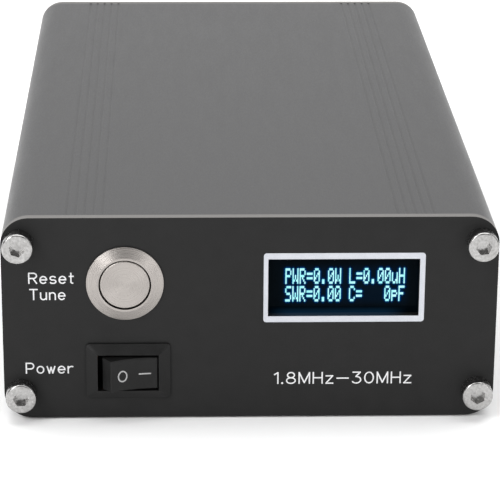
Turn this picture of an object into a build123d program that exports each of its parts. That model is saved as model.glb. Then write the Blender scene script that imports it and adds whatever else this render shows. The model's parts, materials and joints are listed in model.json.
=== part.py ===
"""Desk-top automatic antenna tuner in a two-shell extruded aluminium case.

The frame: +Z is up, the front panel faces -Y, X runs to the right as seen from the front.
The origin is the centre of the case's flat bottom.  All sizes are in millimetres.
"""

import math
import os

from build123d import *

# ---------------------------------------------------------------- driving dimensions
CASE_WIDTH = 88.0
CASE_HEIGHT = 38.0
CASE_LENGTH = 150.0
CASE_CORNER = 5.0
GROOVE_DEPTH = 0.15
SIDE_WALL = 1.8
FLAT_WALL = 2.0
PANEL = 1.6

MIDDLE_Z = CASE_HEIGHT / 2
FRONT = -(CASE_LENGTH / 2 + PANEL)
FRONT_INSIDE = -CASE_LENGTH / 2
REAR = CASE_LENGTH / 2 + PANEL
REAR_INSIDE = CASE_LENGTH / 2

# case screws, M3 socket heads
SCREW_X = 40.9
SCREW_Z = 14.2
SCREW_RADIUS = 1.5
SCREW_HEAD_RADIUS = 2.75
SCREW_HEAD = 3.0
SCREW_LENGTH = 8.0

# tune button, a 12 mm vandal-proof push button
BUTTON_X = -22.2
BUTTON_Z = MIDDLE_Z + 6.8
BUTTON_FLANGE_RADIUS = 6.85
BUTTON_BARREL_RADIUS = 5.9
BUTTON_CAP_RADIUS = 4.45
BUTTON_BORE_RADIUS = 4.65
BUTTON_RIM_RADIUS = 5.0
BUTTON_SEAL_RADIUS = 6.5
BUTTON_STEM_RADIUS = 2.0

# power switch, a small snap-in rocker
SWITCH_X = -21.75
SWITCH_Z = MIDDLE_Z - 9.85
SWITCH_TILT = 13.0
BEZEL_WIDTH = 15.0
BEZEL_HEIGHT = 10.4
BEZEL_DEPTH = 1.5
SWITCH_OPENING = (10.9, 6.85)
SWITCH_HOUSING = (13.3, 8.5)
SWITCH_CAVITY = (12.0, 7.0)
ROCKER_HEIGHT = 5.95
PIVOT_Y = FRONT + 2.2
PIVOT_RADIUS = 0.9
LEVER_Y = PIVOT_Y + 4.6

# display window
WINDOW_X = 16.6
WINDOW_Z = MIDDLE_Z + 5.75
WINDOW = (26.9, 10.8)
GLASS = (31.0, 15.6, 1.4)
DISPLAY_BOARD = (36.0, 21.0, 1.4)
GASKET = 0.8

# main board, held in the case's slots
BOARD_WIDTH = 83.8
BOARD_FRONT = -50.0
BOARD_REAR = 63.0
BOARD_BOTTOM = 9.15
BOARD = 1.6
BOARD_TOP = BOARD_BOTTOM + BOARD
RELAY = (15.5, 10.3, 11.4)
RELAY_PITCH = 12.5
RELAY_FIRST_Y = -41.0
CAPACITOR_RELAY_X = -32.0
INDUCTOR_RELAY_X = -4.5
INDUCTOR_X = 20.0

# wire headers on the main board: x, y and number of ways
HEADER = 3.2
HEADERS = [(-22.0, -48.4, 2), (-13.5, -48.4, 2), (2.5, -48.4, 4), (-3.0, 58.0, 2)]
WIRE_RADIUS = 0.6
WIRE_BEND = 1.3

# rear sockets, ground post and supply inlet
SOCKET_X = 25.0
SOCKET_FLANGE = 25.4
SOCKET_FLANGE_DEPTH = 2.4
SOCKET_RADIUS = 7.94
SOCKET_LENGTH = 17.0
SOCKET_SCREW = 9.1
GROUND_Z = 10.0
GROUND_RADIUS = 2.5
THUMB_NUT_RADIUS = 6.0
JACK_Z = 27.0
JACK_RADIUS = 3.95
JACK_FLANGE = 2.0

# supply lead
CORD_RADIUS = 1.45
PLUG_BODY = 20.0
CORD_EXIT_Y = REAR + JACK_FLANGE + PLUG_BODY
FLOOR_CORD_Z = 1.6
LEAD_ROUTE = [
    (0.0, CORD_EXIT_Y, JACK_Z),
    (0.0, 106.5, 27.0),
    (0.4, 116.5, 23.8),
    (1.0, 127.0, 15.8),
    (0.8, 138.0, 8.0),
    (-0.8, 149.5, 2.9),
    (-2.6, 161.0, FLOOR_CORD_Z),
    (-4.8, 172.0, FLOOR_CORD_Z),
    (-6.6, 182.0, FLOOR_CORD_Z),
]
TAIL_ROUTE = [
    (-10.5, 112.8, 4.7),
    (-3.0, 119.5, 3.4),
    (6.0, 124.0, 1.7),
    (16.0, 126.0, FLOOR_CORD_Z),
    (25.5, 129.0, FLOOR_CORD_Z),
    (32.5, 135.5, FLOOR_CORD_Z),
    (37.0, 144.0, FLOOR_CORD_Z),
    (38.0, 153.0, FLOOR_CORD_Z),
]
HANK_X = -26.0
HANK_Y = 141.0
HANK_WAIST = 4.6
HANK_CORNER = 13.0
HANK_CORNER_X = 7.9
HANK_CORNER_Y = 45.9
HANK_BOTTOM = 0.7
HANK_HEIGHT = 5.75
TIE_WIDTH = 3.0
TIE_THICKNESS = 0.6


# ---------------------------------------------------------------- small building blocks
def block(x0, x1, y0, y1, z0, z1):
    """A box from its lowest to its highest corner."""
    size = Box(x1 - x0, y1 - y0, z1 - z0)
    return Pos((x0 + x1) / 2, (y0 + y1) / 2, (z0 + z1) / 2) * size


def rod_y(x, z, radius, y0, y1):
    """A cylinder along Y."""
    return Pos(x, (y0 + y1) / 2, z) * Rot(90, 0, 0) * Cylinder(radius, y1 - y0)


def rod_z(x, y, radius, z0, z1):
    """A cylinder along Z."""
    return Pos(x, y, (z0 + z1) / 2) * Cylinder(radius, z1 - z0)


def along_y(profile, y0, y1):
    """An XZ profile, drawn in a sketch's x and y, extruded from y0 to y1."""
    return extrude(Plane.XZ.offset(-y1) * profile, amount=y1 - y0)


def along_z(profile, z0, z1):
    """An XY profile extruded from z0 to z1."""
    return extrude(Plane.XY.offset(z0) * profile, amount=z1 - z0)


def cone_y(x, z, radius0, radius1, y0, y1):
    """A truncated cone along Y, radius0 at y0 and radius1 at y1."""
    return Pos(x, (y0 + y1) / 2, z) * Rot(-90, 0, 0) * Cone(radius0, radius1, y1 - y0)


def hexagon_y(x, z, across_flats, y0, y1):
    """A hexagonal prism along Y."""
    outline = RegularPolygon(across_flats / 2, 6, major_radius=False)
    return along_y(Pos(x, z) * outline, y0, y1)


def corner_radii(points, share=0.45):
    """The bend radius for each inner corner of a route, from its shorter run and its turn."""
    radii = []
    for before, corner, after in zip(points, points[1:], points[2:]):
        run_in = Vector(*corner) - Vector(*before)
        run_out = Vector(*after) - Vector(*corner)
        turn = math.radians(run_in.get_angle(run_out))
        shorter = min(run_in.length, run_out.length)
        radii.append(share * shorter / math.tan(turn / 2))
    return radii


def tube(points, radius, radii=None):
    """A round wire or cord along straight runs joined by tangent arcs."""
    if len(points) == 2:
        path = Line(*points)
    else:
        path = FilletPolyline(*points, radius=radii or corner_radii(points))
    start = Plane(path @ 0, z_dir=path % 0)
    return sweep(start * Circle(radius), path=path)


def corners(x, z):
    """The four points at (+-x, +-z)."""
    return [(side * x, level * z) for side in (-1, 1) for level in (-1, 1)]


def fuse(solids):
    """One shape from pieces that touch or overlap."""
    result = solids[0]
    for solid in solids[1:]:
        result = result + solid
    return result


def separate(solids):
    """A group of pieces that stay separate solids."""
    return Compound(children=[solid for shape in solids for solid in shape.solids()])


# ---------------------------------------------------------------- case
def shell_profile():
    """The full extruded section about the case's middle: walls, screw channels and decoration."""
    outer = RectangleRounded(CASE_WIDTH, CASE_HEIGHT, CASE_CORNER)
    inner_width = CASE_WIDTH - 2 * SIDE_WALL
    inner_height = CASE_HEIGHT - 2 * FLAT_WALL
    profile = outer - RectangleRounded(inner_width, inner_height, CASE_CORNER - FLAT_WALL)
    for x, z in corners(SCREW_X, SCREW_Z):
        profile = profile + (Pos(x, z) * Circle(2.75) & outer)
    for x, z in corners(SCREW_X, SCREW_Z):
        profile = profile - Pos(x, z) * Circle(SCREW_RADIUS + 0.02)
    groove = Polygon((-0.36, 0), (0, GROOVE_DEPTH), (0.36, 0), (0, -GROOVE_DEPTH), align=None)
    for side in (-1, 1):
        for index in range(5):
            for level in (-1, 1):
                x = side * (26.0 + 1.6 * index)
                profile = profile - Pos(x, level * CASE_HEIGHT / 2) * groove
        profile = profile - Pos(side * CASE_WIDTH / 2, 0) * Rot(0, 0, 45) * Rectangle(0.5, 0.5)
    return profile


def case_bottom():
    """Lower shell: screw channels, board slots and the outer half of the side joint."""
    profile = shell_profile() & Pos(0, -CASE_HEIGHT / 2) * Rectangle(CASE_WIDTH + 2, CASE_HEIGHT)
    wall = CASE_WIDTH / 2 - SIDE_WALL
    for side in (-1, 1):
        for level in (8.5, 11.4):
            rail = Pos(side * (wall - 0.8), level - MIDDLE_Z) * Rectangle(2.0, 1.0)
            profile = profile + rail
        profile = profile - Pos(side * (wall + 0.4), -0.6) * Rectangle(1.0, 1.2)
    return Pos(0, 0, MIDDLE_Z) * along_y(profile, FRONT_INSIDE, REAR_INSIDE)


def case_top():
    """Upper shell, with a tongue along each side that drops behind the lower shell's edge."""
    profile = shell_profile() & Pos(0, CASE_HEIGHT / 2) * Rectangle(CASE_WIDTH + 2, CASE_HEIGHT)
    wall = CASE_WIDTH / 2 - SIDE_WALL
    for side in (-1, 1):
        profile = profile + Pos(side * (wall + 0.4), -0.45) * Rectangle(0.8, 1.1)
    return Pos(0, 0, MIDDLE_Z) * along_y(profile, FRONT_INSIDE, REAR_INSIDE)


def panel_blank(y0, y1):
    """End plate with the case's outline and its four screw holes."""
    profile = RectangleRounded(CASE_WIDTH, CASE_HEIGHT, CASE_CORNER)
    for x, z in corners(SCREW_X, SCREW_Z):
        profile = profile - Pos(x, z) * Circle(1.65)
    return Pos(0, 0, MIDDLE_Z) * along_y(profile, y0, y1)


def front_panel():
    """Front plate with the button hole, the switch cut-out and the display window."""
    panel = panel_blank(FRONT, FRONT_INSIDE)
    panel = panel - rod_y(BUTTON_X, BUTTON_Z, BUTTON_BARREL_RADIUS + 0.1, FRONT - 1, FRONT + 3)
    cutouts = [
        (SWITCH_X, SWITCH_Z, SWITCH_HOUSING[0] + 0.2, SWITCH_HOUSING[1] + 0.2),
        (WINDOW_X, WINDOW_Z, *WINDOW),
    ]
    for x, z, width, height in cutouts:
        panel = panel - Pos(x, FRONT, z) * Box(width, 6, height)
    return panel


def rear_panel():
    """Rear plate with holes for the two sockets, the ground post and the supply inlet."""
    panel = panel_blank(REAR_INSIDE, REAR)
    for side in (-1, 1):
        panel = panel - rod_y(side * SOCKET_X, MIDDLE_Z, 6.6, REAR - 3, REAR + 1)
        for x, z in corners(SOCKET_SCREW, SOCKET_SCREW):
            hole = rod_y(side * SOCKET_X + x, MIDDLE_Z + z, 1.6, REAR - 3, REAR + 1)
            panel = panel - hole
    panel = panel - rod_y(0, GROUND_Z, GROUND_RADIUS + 0.1, REAR - 3, REAR + 1)
    panel = panel - rod_y(0, JACK_Z, JACK_RADIUS + 0.1, REAR - 3, REAR + 1)
    return panel


def socket_screw(length):
    """M3 socket-head screw, head towards -Y with the seat at y = 0."""
    head = rod_y(0, 0, SCREW_HEAD_RADIUS, -SCREW_HEAD, 0)
    head = fillet(head.edges().group_by(Axis.Y)[0], 0.35)
    head = head - hexagon_y(0, 0, 2.5, -SCREW_HEAD, -SCREW_HEAD + 1.5)
    return head + rod_y(0, 0, SCREW_RADIUS, 0, length)


def panel_screws(seat_y, turn):
    """The four screws of one end plate; each socket stopped at its own angle."""
    screws = []
    for index, (x, z) in enumerate(corners(SCREW_X, SCREW_Z)):
        screw = Rot(0, 17 * index, 0) * socket_screw(SCREW_LENGTH)
        screws.append(Pos(x, seat_y, MIDDLE_Z + z) * Rot(0, 0, turn) * screw)
    return separate(screws)


# ---------------------------------------------------------------- tune button
def tune_button_body():
    """Metal barrel with a conical front flange, open through for the cap."""
    lip = 0.35
    flange = rod_y(BUTTON_X, BUTTON_Z, BUTTON_FLANGE_RADIUS, FRONT - lip, FRONT)
    cone = cone_y(BUTTON_X, BUTTON_Z, BUTTON_RIM_RADIUS, BUTTON_FLANGE_RADIUS, FRONT - 1.15, FRONT - lip)
    barrel = rod_y(BUTTON_X, BUTTON_Z, BUTTON_BARREL_RADIUS, FRONT, FRONT + 15)
    groove = rod_y(BUTTON_X, BUTTON_Z, BUTTON_SEAL_RADIUS + 0.05, FRONT - 0.3, FRONT)
    groove = groove - rod_y(BUTTON_X, BUTTON_Z, BUTTON_BARREL_RADIUS, FRONT - 1, FRONT + 1)
    bore = rod_y(BUTTON_X, BUTTON_Z, BUTTON_BORE_RADIUS, FRONT - 2, FRONT + 16)
    return flange + cone + barrel - groove - bore


def tune_button_cap():
    """Pressed cap with its guide stem."""
    cap = rod_y(BUTTON_X, BUTTON_Z, BUTTON_CAP_RADIUS, FRONT - 1.05, FRONT + 1.6)
    cap = fillet(cap.edges().group_by(Axis.Y)[0], 0.25)
    return cap + rod_y(BUTTON_X, BUTTON_Z, BUTTON_STEM_RADIUS, FRONT + 1.6, FRONT + 13)


def tune_button_spring():
    """Return spring round the stem, between the cap and the insulating base."""
    height = 6.6
    coil = Helix(pitch=1.1, height=height, radius=3.0)
    start = Plane(coil @ 0, z_dir=coil % 0)
    spring = sweep(start * Circle(0.25), path=coil, is_frenet=True)
    return Pos(BUTTON_X, FRONT + 1.6 + 0.4 + height, BUTTON_Z) * Rot(90, 0, 0) * spring


def tune_button_seal():
    """Rubber ring in the groove behind the flange."""
    ring = rod_y(BUTTON_X, BUTTON_Z, BUTTON_SEAL_RADIUS, FRONT - 0.3, FRONT)
    return ring - rod_y(BUTTON_X, BUTTON_Z, 5.95, FRONT - 1, FRONT + 1)


def tune_button_nut():
    """Hexagon nut behind the front plate."""
    nut = hexagon_y(BUTTON_X, BUTTON_Z, 14.0, FRONT_INSIDE, FRONT_INSIDE + 2.0)
    return nut - rod_y(BUTTON_X, BUTTON_Z, BUTTON_BARREL_RADIUS + 0.02, FRONT, FRONT + 6)


def tune_button_base():
    """Insulating insert that guides the stem and carries the two terminals."""
    base = rod_y(BUTTON_X, BUTTON_Z, BUTTON_BORE_RADIUS - 0.02, FRONT + 9, FRONT + 15)
    base = base + rod_y(BUTTON_X, BUTTON_Z, 5.4, FRONT + 15, FRONT + 17.5)
    base = base - rod_y(BUTTON_X, BUTTON_Z, BUTTON_STEM_RADIUS + 0.05, FRONT + 8, FRONT + 15.5)
    for side in (-1, 1):
        x = BUTTON_X + side * 3.0
        base = base - block(x - 0.3, x + 0.3, FRONT + 13, FRONT + 18, BUTTON_Z - 1, BUTTON_Z + 1)
    return base


def tune_button_terminals():
    """Two solder tabs."""
    tabs = []
    for side in (-1, 1):
        x = BUTTON_X + side * 3.0
        tabs.append(block(x - 0.25, x + 0.25, FRONT + 13.1, FRONT + 21.5, BUTTON_Z - 0.95, BUTTON_Z + 0.95))
    return separate(tabs)


# ---------------------------------------------------------------- power switch
def power_switch_body():
    """Snap-in housing with a bevelled bezel, open at the front for the rocker."""
    opening_width, opening_height = SWITCH_OPENING
    base = RectangleRounded(BEZEL_WIDTH, BEZEL_HEIGHT, 0.6)
    rim = Rectangle(opening_width + 0.1, opening_height + 0.1)
    level = 0.45
    bezel = along_y(base, -level, 0)
    wide = Plane.XZ.offset(level) * base
    narrow = Plane.XZ.offset(BEZEL_DEPTH) * rim
    bezel = bezel + loft([wide, narrow])
    housing = along_y(Rectangle(*SWITCH_HOUSING), 0, 9.6)
    cavity = along_y(Rectangle(*SWITCH_CAVITY), -BEZEL_DEPTH + 0.8, 8.6)
    mouth = along_y(Rectangle(opening_width, opening_height), -BEZEL_DEPTH - 1, 2)
    body = bezel + housing - cavity - mouth
    pivot = PIVOT_Y - FRONT
    body = body - rod_z(0, pivot, PIVOT_RADIUS + 0.05, -3.95, 3.95)
    for x in (0.0, -3.8):
        body = body - block(x - 0.35, x + 0.35, 8.0, 10.0, -2.05, 2.05)
    for side in (-1, 1):
        wedge = Pos(side * SWITCH_HOUSING[0] / 2, 3.4, 0) * Box(0.5, 3.0, 3.6)
        body = body + wedge
    return Pos(SWITCH_X, FRONT, SWITCH_Z) * body


def rocker_outline():
    """The rocker's section at mid-throw about its pivot; the front face is a shallow hollow."""
    left = [(-1.0, 3.3), (-1.6, 0.6), (-4.6, -0.9), (-5.26, -2.59), (-4.2, -4.88)]
    right = [(-x, y) for x, y in reversed(left)]
    face = ThreePointArc(left[-1], (0, -4.4), right[0])
    rest = Polyline(*right, *left)
    return make_face(face.edges() + rest.edges())


def power_switch_rocker():
    """Rocker with its two pivot pins, resting with the right-hand side pressed in."""
    body = along_z(rocker_outline(), -ROCKER_HEIGHT / 2, ROCKER_HEIGHT / 2)
    front_edges = body.edges().filter_by_position(Axis.Y, -5.2, -4.3)
    body = fillet(front_edges, 0.3)
    body = body + rod_z(0, 0, PIVOT_RADIUS, -3.9, 3.9)
    return Pos(SWITCH_X, PIVOT_Y, SWITCH_Z) * Rot(0, 0, SWITCH_TILT) * body


def power_switch_lever():
    """See-saw contact strip under the rocker's nose, on a round knife edge."""
    arm = Box(8.4, 0.5, 3.2)
    lever = Pos(0, -0.6, 0) * arm + Pos(0, -0.3, 0) * Box(0.9, 0.6, 3.2) + rod_z(0, 0, 0.45, -1.6, 1.6)
    return Pos(SWITCH_X, LEVER_Y, SWITCH_Z) * Rot(0, 0, -8) * lever


def power_switch_terminals():
    """Two blades through the housing's floor: the pivot terminal and the fixed contact."""
    blades = []
    for x, top in ((0.0, LEVER_Y + 0.55), (-3.8, LEVER_Y + 0.62)):
        centre = SWITCH_X + x
        blades.append(block(centre - 0.3, centre + 0.3, top, FRONT + 16, SWITCH_Z - 2, SWITCH_Z + 2))
    return separate(blades)


# ---------------------------------------------------------------- display
def display_gasket():
    """Foam frame that holds the display to the back of the front plate."""
    frame = Pos(WINDOW_X, FRONT_INSIDE + GASKET / 2, WINDOW_Z) * Box(33.0, GASKET, 17.0)
    return frame - Pos(WINDOW_X, FRONT_INSIDE, WINDOW_Z) * Box(28.4, 4, 12.4)


def display_glass():
    """Display panel of glass."""
    width, height, thickness = GLASS
    y = FRONT_INSIDE + GASKET
    return Pos(WINDOW_X, y + thickness / 2, WINDOW_Z) * Box(width, thickness, height)


def display_board():
    """Display carrier board with its four corner holes."""
    width, height, thickness = DISPLAY_BOARD
    y = FRONT_INSIDE + GASKET + GLASS[2]
    board = Pos(WINDOW_X, y + thickness / 2, WINDOW_Z) * Box(width, thickness, height)
    for x, z in corners(width / 2 - 2.2, height / 2 - 2.0):
        board = board - rod_y(WINDOW_X + x, WINDOW_Z + z, 1.1, y - 1, y + thickness + 1)
    return board


def display_pins():
    """Four-way pin strip on the display board."""
    y = FRONT_INSIDE + GASKET + GLASS[2] + DISPLAY_BOARD[2]
    z = WINDOW_Z - DISPLAY_BOARD[1] / 2 + 2.0
    strip = Pos(WINDOW_X, y + 1.25, z) * Box(10.2, 2.5, 2.5)
    pins = [Pos(WINDOW_X + 2.54 * (i - 1.5), y + 4.6, z) * Box(0.64, 4.2, 0.64) for i in range(4)]
    return fuse([strip, *pins])


# ---------------------------------------------------------------- main board and its parts
def main_board():
    """Main board in the case's slots."""
    board = block(-BOARD_WIDTH / 2, BOARD_WIDTH / 2, BOARD_FRONT, BOARD_REAR, BOARD_BOTTOM, BOARD_TOP)
    for x in (-12.0, 12.0):
        for y in (BOARD_FRONT + 4, BOARD_REAR - 3):
            board = board - rod_z(x, y, 1.6, BOARD_BOTTOM - 1, BOARD_TOP + 1)
    return board


def relay_block(x, y):
    """One sealed relay."""
    body = Pos(x, y, BOARD_TOP + RELAY[2] / 2) * Box(*RELAY)
    return fillet(body.edges().filter_by(Axis.Z) + body.edges().group_by(Axis.Z)[-1], 0.4)


def relay_places():
    """The y of each of the seven relays in a row."""
    return [RELAY_FIRST_Y + RELAY_PITCH * index for index in range(7)]


def inductor_relays():
    """Seven relays that switch the inductors."""
    return separate([relay_block(INDUCTOR_RELAY_X, y) for y in relay_places()])


def capacitor_relays():
    """Seven relays that switch the capacitors."""
    return separate([relay_block(CAPACITOR_RELAY_X, y) for y in relay_places()])


def network_relay():
    """One relay that moves the capacitors to either side of the inductors."""
    return relay_block(INDUCTOR_RELAY_X, RELAY_FIRST_Y + RELAY_PITCH * 7 + 2.5)


def air_coils():
    """Three short air-wound coils for the smallest inductances."""
    coils = []
    wire = 0.45
    for index, turns in enumerate((3, 5, 7)):
        radius = 2.6 + 0.4 * index
        helix = Helix(pitch=1.5, height=1.5 * turns, radius=radius)
        start = Plane(helix @ 0, z_dir=helix % 0)
        coil = sweep(start * Circle(wire), path=helix, is_frenet=True)
        y = relay_places()[index]
        level = BOARD_TOP + radius + wire
        coils.append(Pos(INDUCTOR_X - 0.75 * turns, y, level) * Rot(0, 90, 0) * coil)
    return separate(coils)


def toroid_sizes():
    """Outer radius, inner radius, width and turns of the four wound cores, smallest first."""
    return [(8.8, 4.7, 4.8, 9), (8.8, 4.7, 4.8, 13), (10.1, 6.3, 6.3, 17), (10.1, 6.3, 6.3, 23)]


def toroid_centre(index, outer):
    """The centre of one core, standing on edge beside its relay."""
    return (INDUCTOR_X, relay_places()[3 + index], BOARD_TOP + 1.0 + outer)


def ring_core(outer, inner, width):
    """A ring core about Y, centred on the origin."""
    core = rod_y(0, 0, outer, -width / 2, width / 2) - rod_y(0, 0, inner, -width, width)
    return fillet(core.edges().filter_by(GeomType.CIRCLE), 0.5)


def core_turn(outer, inner, width, wire, gap=0.08):
    """One square-cornered turn of wire round a ring core's section, at the top of the ring."""
    middle = (inner + outer) / 2
    inside = Box(3 * wire, width + 2 * gap, outer - inner + 2 * gap)
    outside = Box(wire, width + 2 * gap + 2 * wire, outer - inner + 2 * gap + 2 * wire)
    return Pos(0, 0, middle) * (outside - inside)


def core_winding(outer, inner, width, turns, wire, spread):
    """Turns spaced evenly over a spread in degrees, with their gap at the bottom."""
    step = spread / (turns - 1)
    turn = core_turn(outer, inner, width, wire)
    return [Rot(0, -spread / 2 + step * index, 0) * turn for index in range(turns)]


def toroid_cores():
    """Four iron-powder cores for the larger inductances."""
    cores = []
    for index, (outer, inner, width, _) in enumerate(toroid_sizes()):
        cores.append(Pos(*toroid_centre(index, outer)) * ring_core(outer, inner, width))
    return separate(cores)


def toroid_windings():
    """The turns of enamelled wire on the four cores."""
    turns = []
    for index, (outer, inner, width, count) in enumerate(toroid_sizes()):
        place = Pos(*toroid_centre(index, outer))
        wires = core_winding(outer, inner, width, count, 0.7, 290)
        turns.extend(place * wire for wire in wires)
    return separate(turns)


def bridge_places():
    """Centres of the two measuring transformers."""
    return [(x, 52.0, BOARD_TOP + 7.2) for x in (-35.5, -21.0)]


def bridge_cores():
    """Two ferrite ring cores of the power-measuring bridge."""
    return separate([Pos(*place) * ring_core(6.1, 3.9, 4.8) for place in bridge_places()])


def bridge_windings():
    """The ring windings and the line that runs through each core."""
    pieces = []
    for x, y, z in bridge_places():
        wires = core_winding(6.1, 3.9, 4.8, 10, 0.4, 300)
        pieces.extend(Pos(x, y, z) * wire for wire in wires)
        line = [(x, y - 8, BOARD_TOP), (x, y - 8, z), (x, y + 8, z), (x, y + 8, BOARD_TOP)]
        pieces.append(tube(line, 1.2, radii=[2.5, 2.5]))
    return separate(pieces)


def chip(x, y, length, width, pins):
    """A dual in-line package lying along X: body on its legs."""
    body = Pos(x, y, BOARD_TOP + 2.6) * Box(length, width - 1.2, 3.6)
    legs = []
    for index in range(pins // 2):
        for side in (-1, 1):
            px = x + 2.54 * (index - (pins / 2 - 1) / 2)
            legs.append(Pos(px, y + side * width / 2, BOARD_TOP + 1.5) * Box(0.6, 1.4, 3.0))
    return fuse([body, *legs])


def microcontroller():
    """The processor."""
    return chip(21.5, 55.5, 35.4, 7.8, 28)


def relay_drivers():
    """Two driver chips behind the inductors."""
    return separate([chip(x, 45.2, 17.4, 7.0, 14) for x in (12.5, 31.0)])


def voltage_regulator():
    """Regulator standing on its leads, with its bare tab to the front."""
    body = Pos(-34.0, -47.6, BOARD_TOP + 7.5) * Box(10.0, 2.2, 9.0)
    tab = Pos(-34.0, -49.1, BOARD_TOP + 10.5) * Box(10.0, 0.9, 14.0)
    tab = tab - rod_y(-34.0, BOARD_TOP + 14.8, 1.8, -50, -48)
    legs = [Pos(-34.0 + 2.54 * i, -47.6, BOARD_TOP + 1.5) * Box(0.8, 0.6, 3.0) for i in (-1, 0, 1)]
    return fuse([body, tab, *legs])


def electrolytic_capacitors():
    """Three can capacitors of the supply."""
    cans = []
    for x, y in ((33.5, -44.5), (36.0, -31.0), (36.0, -18.0)):
        can = rod_z(x, y, 4.0, BOARD_TOP, BOARD_TOP + 11.5)
        cans.append(fillet(can.edges().group_by(Axis.Z)[-1], 0.5))
    return separate(cans)


def tuning_capacitors():
    """High-voltage chip capacitors between the two relay rows, two to a step."""
    chips = []
    for y in relay_places():
        for offset in (-2.6, 2.6):
            chips.append(Pos(-18.3, y + offset, BOARD_TOP + 1.3) * Box(5.7, 4.2, 2.6))
    return separate(chips)


def small_parts():
    """Rows of chip resistors, capacitors and diodes along the board's right edge."""
    chips = []
    for index in range(9):
        chips.append(Pos(38.2, -10.0 + 5.2 * index, BOARD_TOP + 0.5) * Box(2.0, 3.2, 1.0))
    for index in range(4):
        chips.append(Pos(-38.5 + 3.4 * index, 40.0, BOARD_TOP + 0.5) * Box(2.0, 1.3, 1.0))
    return separate(chips)


def board_connectors():
    """Wire headers: three near the board's front edge and one for the supply at the rear."""
    headers = []
    for x, y, ways in HEADERS:
        width = 2.54 * ways + 2.0
        headers.append(Pos(x, y, BOARD_TOP + HEADER / 2) * Box(width, 2.4, HEADER))
    return separate(headers)


def wire_landing(header, way):
    """Where a wire meets its header, and the point just above it."""
    x, y, ways = HEADERS[header]
    x = x + 2.54 * (way - (ways - 1) / 2)
    top = BOARD_TOP + HEADER
    return [(x, y, top + 4.2), (x, y, top)]


def button_wires():
    """Routes of the tune button's two wires."""
    start = FRONT + 21.5
    routes = []
    for way, x in enumerate((BUTTON_X - 3.0, BUTTON_X + 3.0)):
        routes.append([(x, start, BUTTON_Z), (x, start + 3.0, BUTTON_Z), *wire_landing(0, way)])
    return routes


def switch_wires():
    """Routes of the power switch's two wires."""
    start = FRONT + 16
    routes = []
    for way, x in enumerate((SWITCH_X - 3.8, SWITCH_X)):
        lift = (x + 4.0, start + 6.0, 14.5 + 0.5 * way)
        routes.append([(x, start, SWITCH_Z), (x, start + 3.5, SWITCH_Z), lift, *wire_landing(1, way)])
    return routes


def display_wires():
    """Routes of the display's four wires."""
    start = FRONT_INSIDE + GASKET + GLASS[2] + DISPLAY_BOARD[2] + 6.7
    z = WINDOW_Z - DISPLAY_BOARD[1] / 2 + 2.0
    routes = []
    for way in range(4):
        x = WINDOW_X + 2.54 * (way - 1.5)
        routes.append([(x, start, z), (x, start + 4.0, z), *wire_landing(2, way)])
    return routes


def supply_wires():
    """Routes of the two wires from the supply inlet."""
    start = REAR - 14.6
    routes = []
    for way, x in enumerate((-1.6, 1.6)):
        routes.append([(x, start, JACK_Z), (x, start - 3.0, JACK_Z), *wire_landing(3, way)])
    return routes


def panel_wires():
    """Hook-up wires from the button, the switch, the display and the inlet to the board."""
    routes = button_wires() + switch_wires() + display_wires() + supply_wires()
    wires = [tube(route, WIRE_RADIUS, radii=[WIRE_BEND] * (len(route) - 2)) for route in routes]
    return separate(wires)


def rf_leads():
    """Stout copper wires from the socket contacts down to the board."""
    leads = []
    for side in (-1, 1):
        x = side * SOCKET_X
        route = [(x, REAR - 12.6, MIDDLE_Z), (x, REAR - 15.1, MIDDLE_Z), (x, REAR - 15.1, BOARD_TOP)]
        leads.append(tube(route, 0.7, radii=[1.5]))
    return separate(leads)


# ---------------------------------------------------------------- rear panel fittings
def socket_shell(x):
    """Coaxial socket shell: square flange and threaded barrel with four locking notches."""
    half = SOCKET_FLANGE / 2
    end = REAR + SOCKET_FLANGE_DEPTH + SOCKET_LENGTH
    low, high = MIDDLE_Z - half, MIDDLE_Z + half
    shell = block(x - half, x + half, REAR, REAR + SOCKET_FLANGE_DEPTH, low, high)
    shell = chamfer(shell.edges().filter_by(Axis.Y), 1.2)
    barrel = rod_y(x, MIDDLE_Z, SOCKET_RADIUS, REAR + SOCKET_FLANGE_DEPTH, end)
    barrel = chamfer(barrel.edges().group_by(Axis.Y)[-1], 0.5)
    shell = shell + barrel - rod_y(x, MIDDLE_Z, 6.2, REAR - 1, end + 1)
    for dx, dz in corners(SOCKET_SCREW, SOCKET_SCREW):
        shell = shell - rod_y(x + dx, MIDDLE_Z + dz, 1.6, REAR - 1, REAR + SOCKET_FLANGE_DEPTH + 1)
    for angle in (45, 135):
        notch = Pos(x, end, MIDDLE_Z) * Rot(0, angle, 0) * Box(20, 2.4, 1.6)
        shell = shell - notch
    return shell


def socket_insulator(x):
    """White insulator that fills the shell and stands out behind the plate."""
    front = REAR + SOCKET_FLANGE_DEPTH + SOCKET_LENGTH - 1.4
    body = rod_y(x, MIDDLE_Z, 6.17, REAR - 5, front)
    return body - rod_y(x, MIDDLE_Z, 2.82, REAR - 8, front + 1)


def socket_contact(x):
    """Centre contact with its solder cup inside the case."""
    front = REAR + SOCKET_FLANGE_DEPTH + SOCKET_LENGTH - 1.6
    contact = rod_y(x, MIDDLE_Z, 2.8, REAR - 5, front) + rod_y(x, MIDDLE_Z, 2.0, REAR - 12.5, REAR - 5)
    contact = contact - rod_y(x, MIDDLE_Z, 2.0, front - 14, front + 1)
    cup = rod_y(x, MIDDLE_Z, 1.3, REAR - 13, REAR - 8)
    return contact - cup


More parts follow.
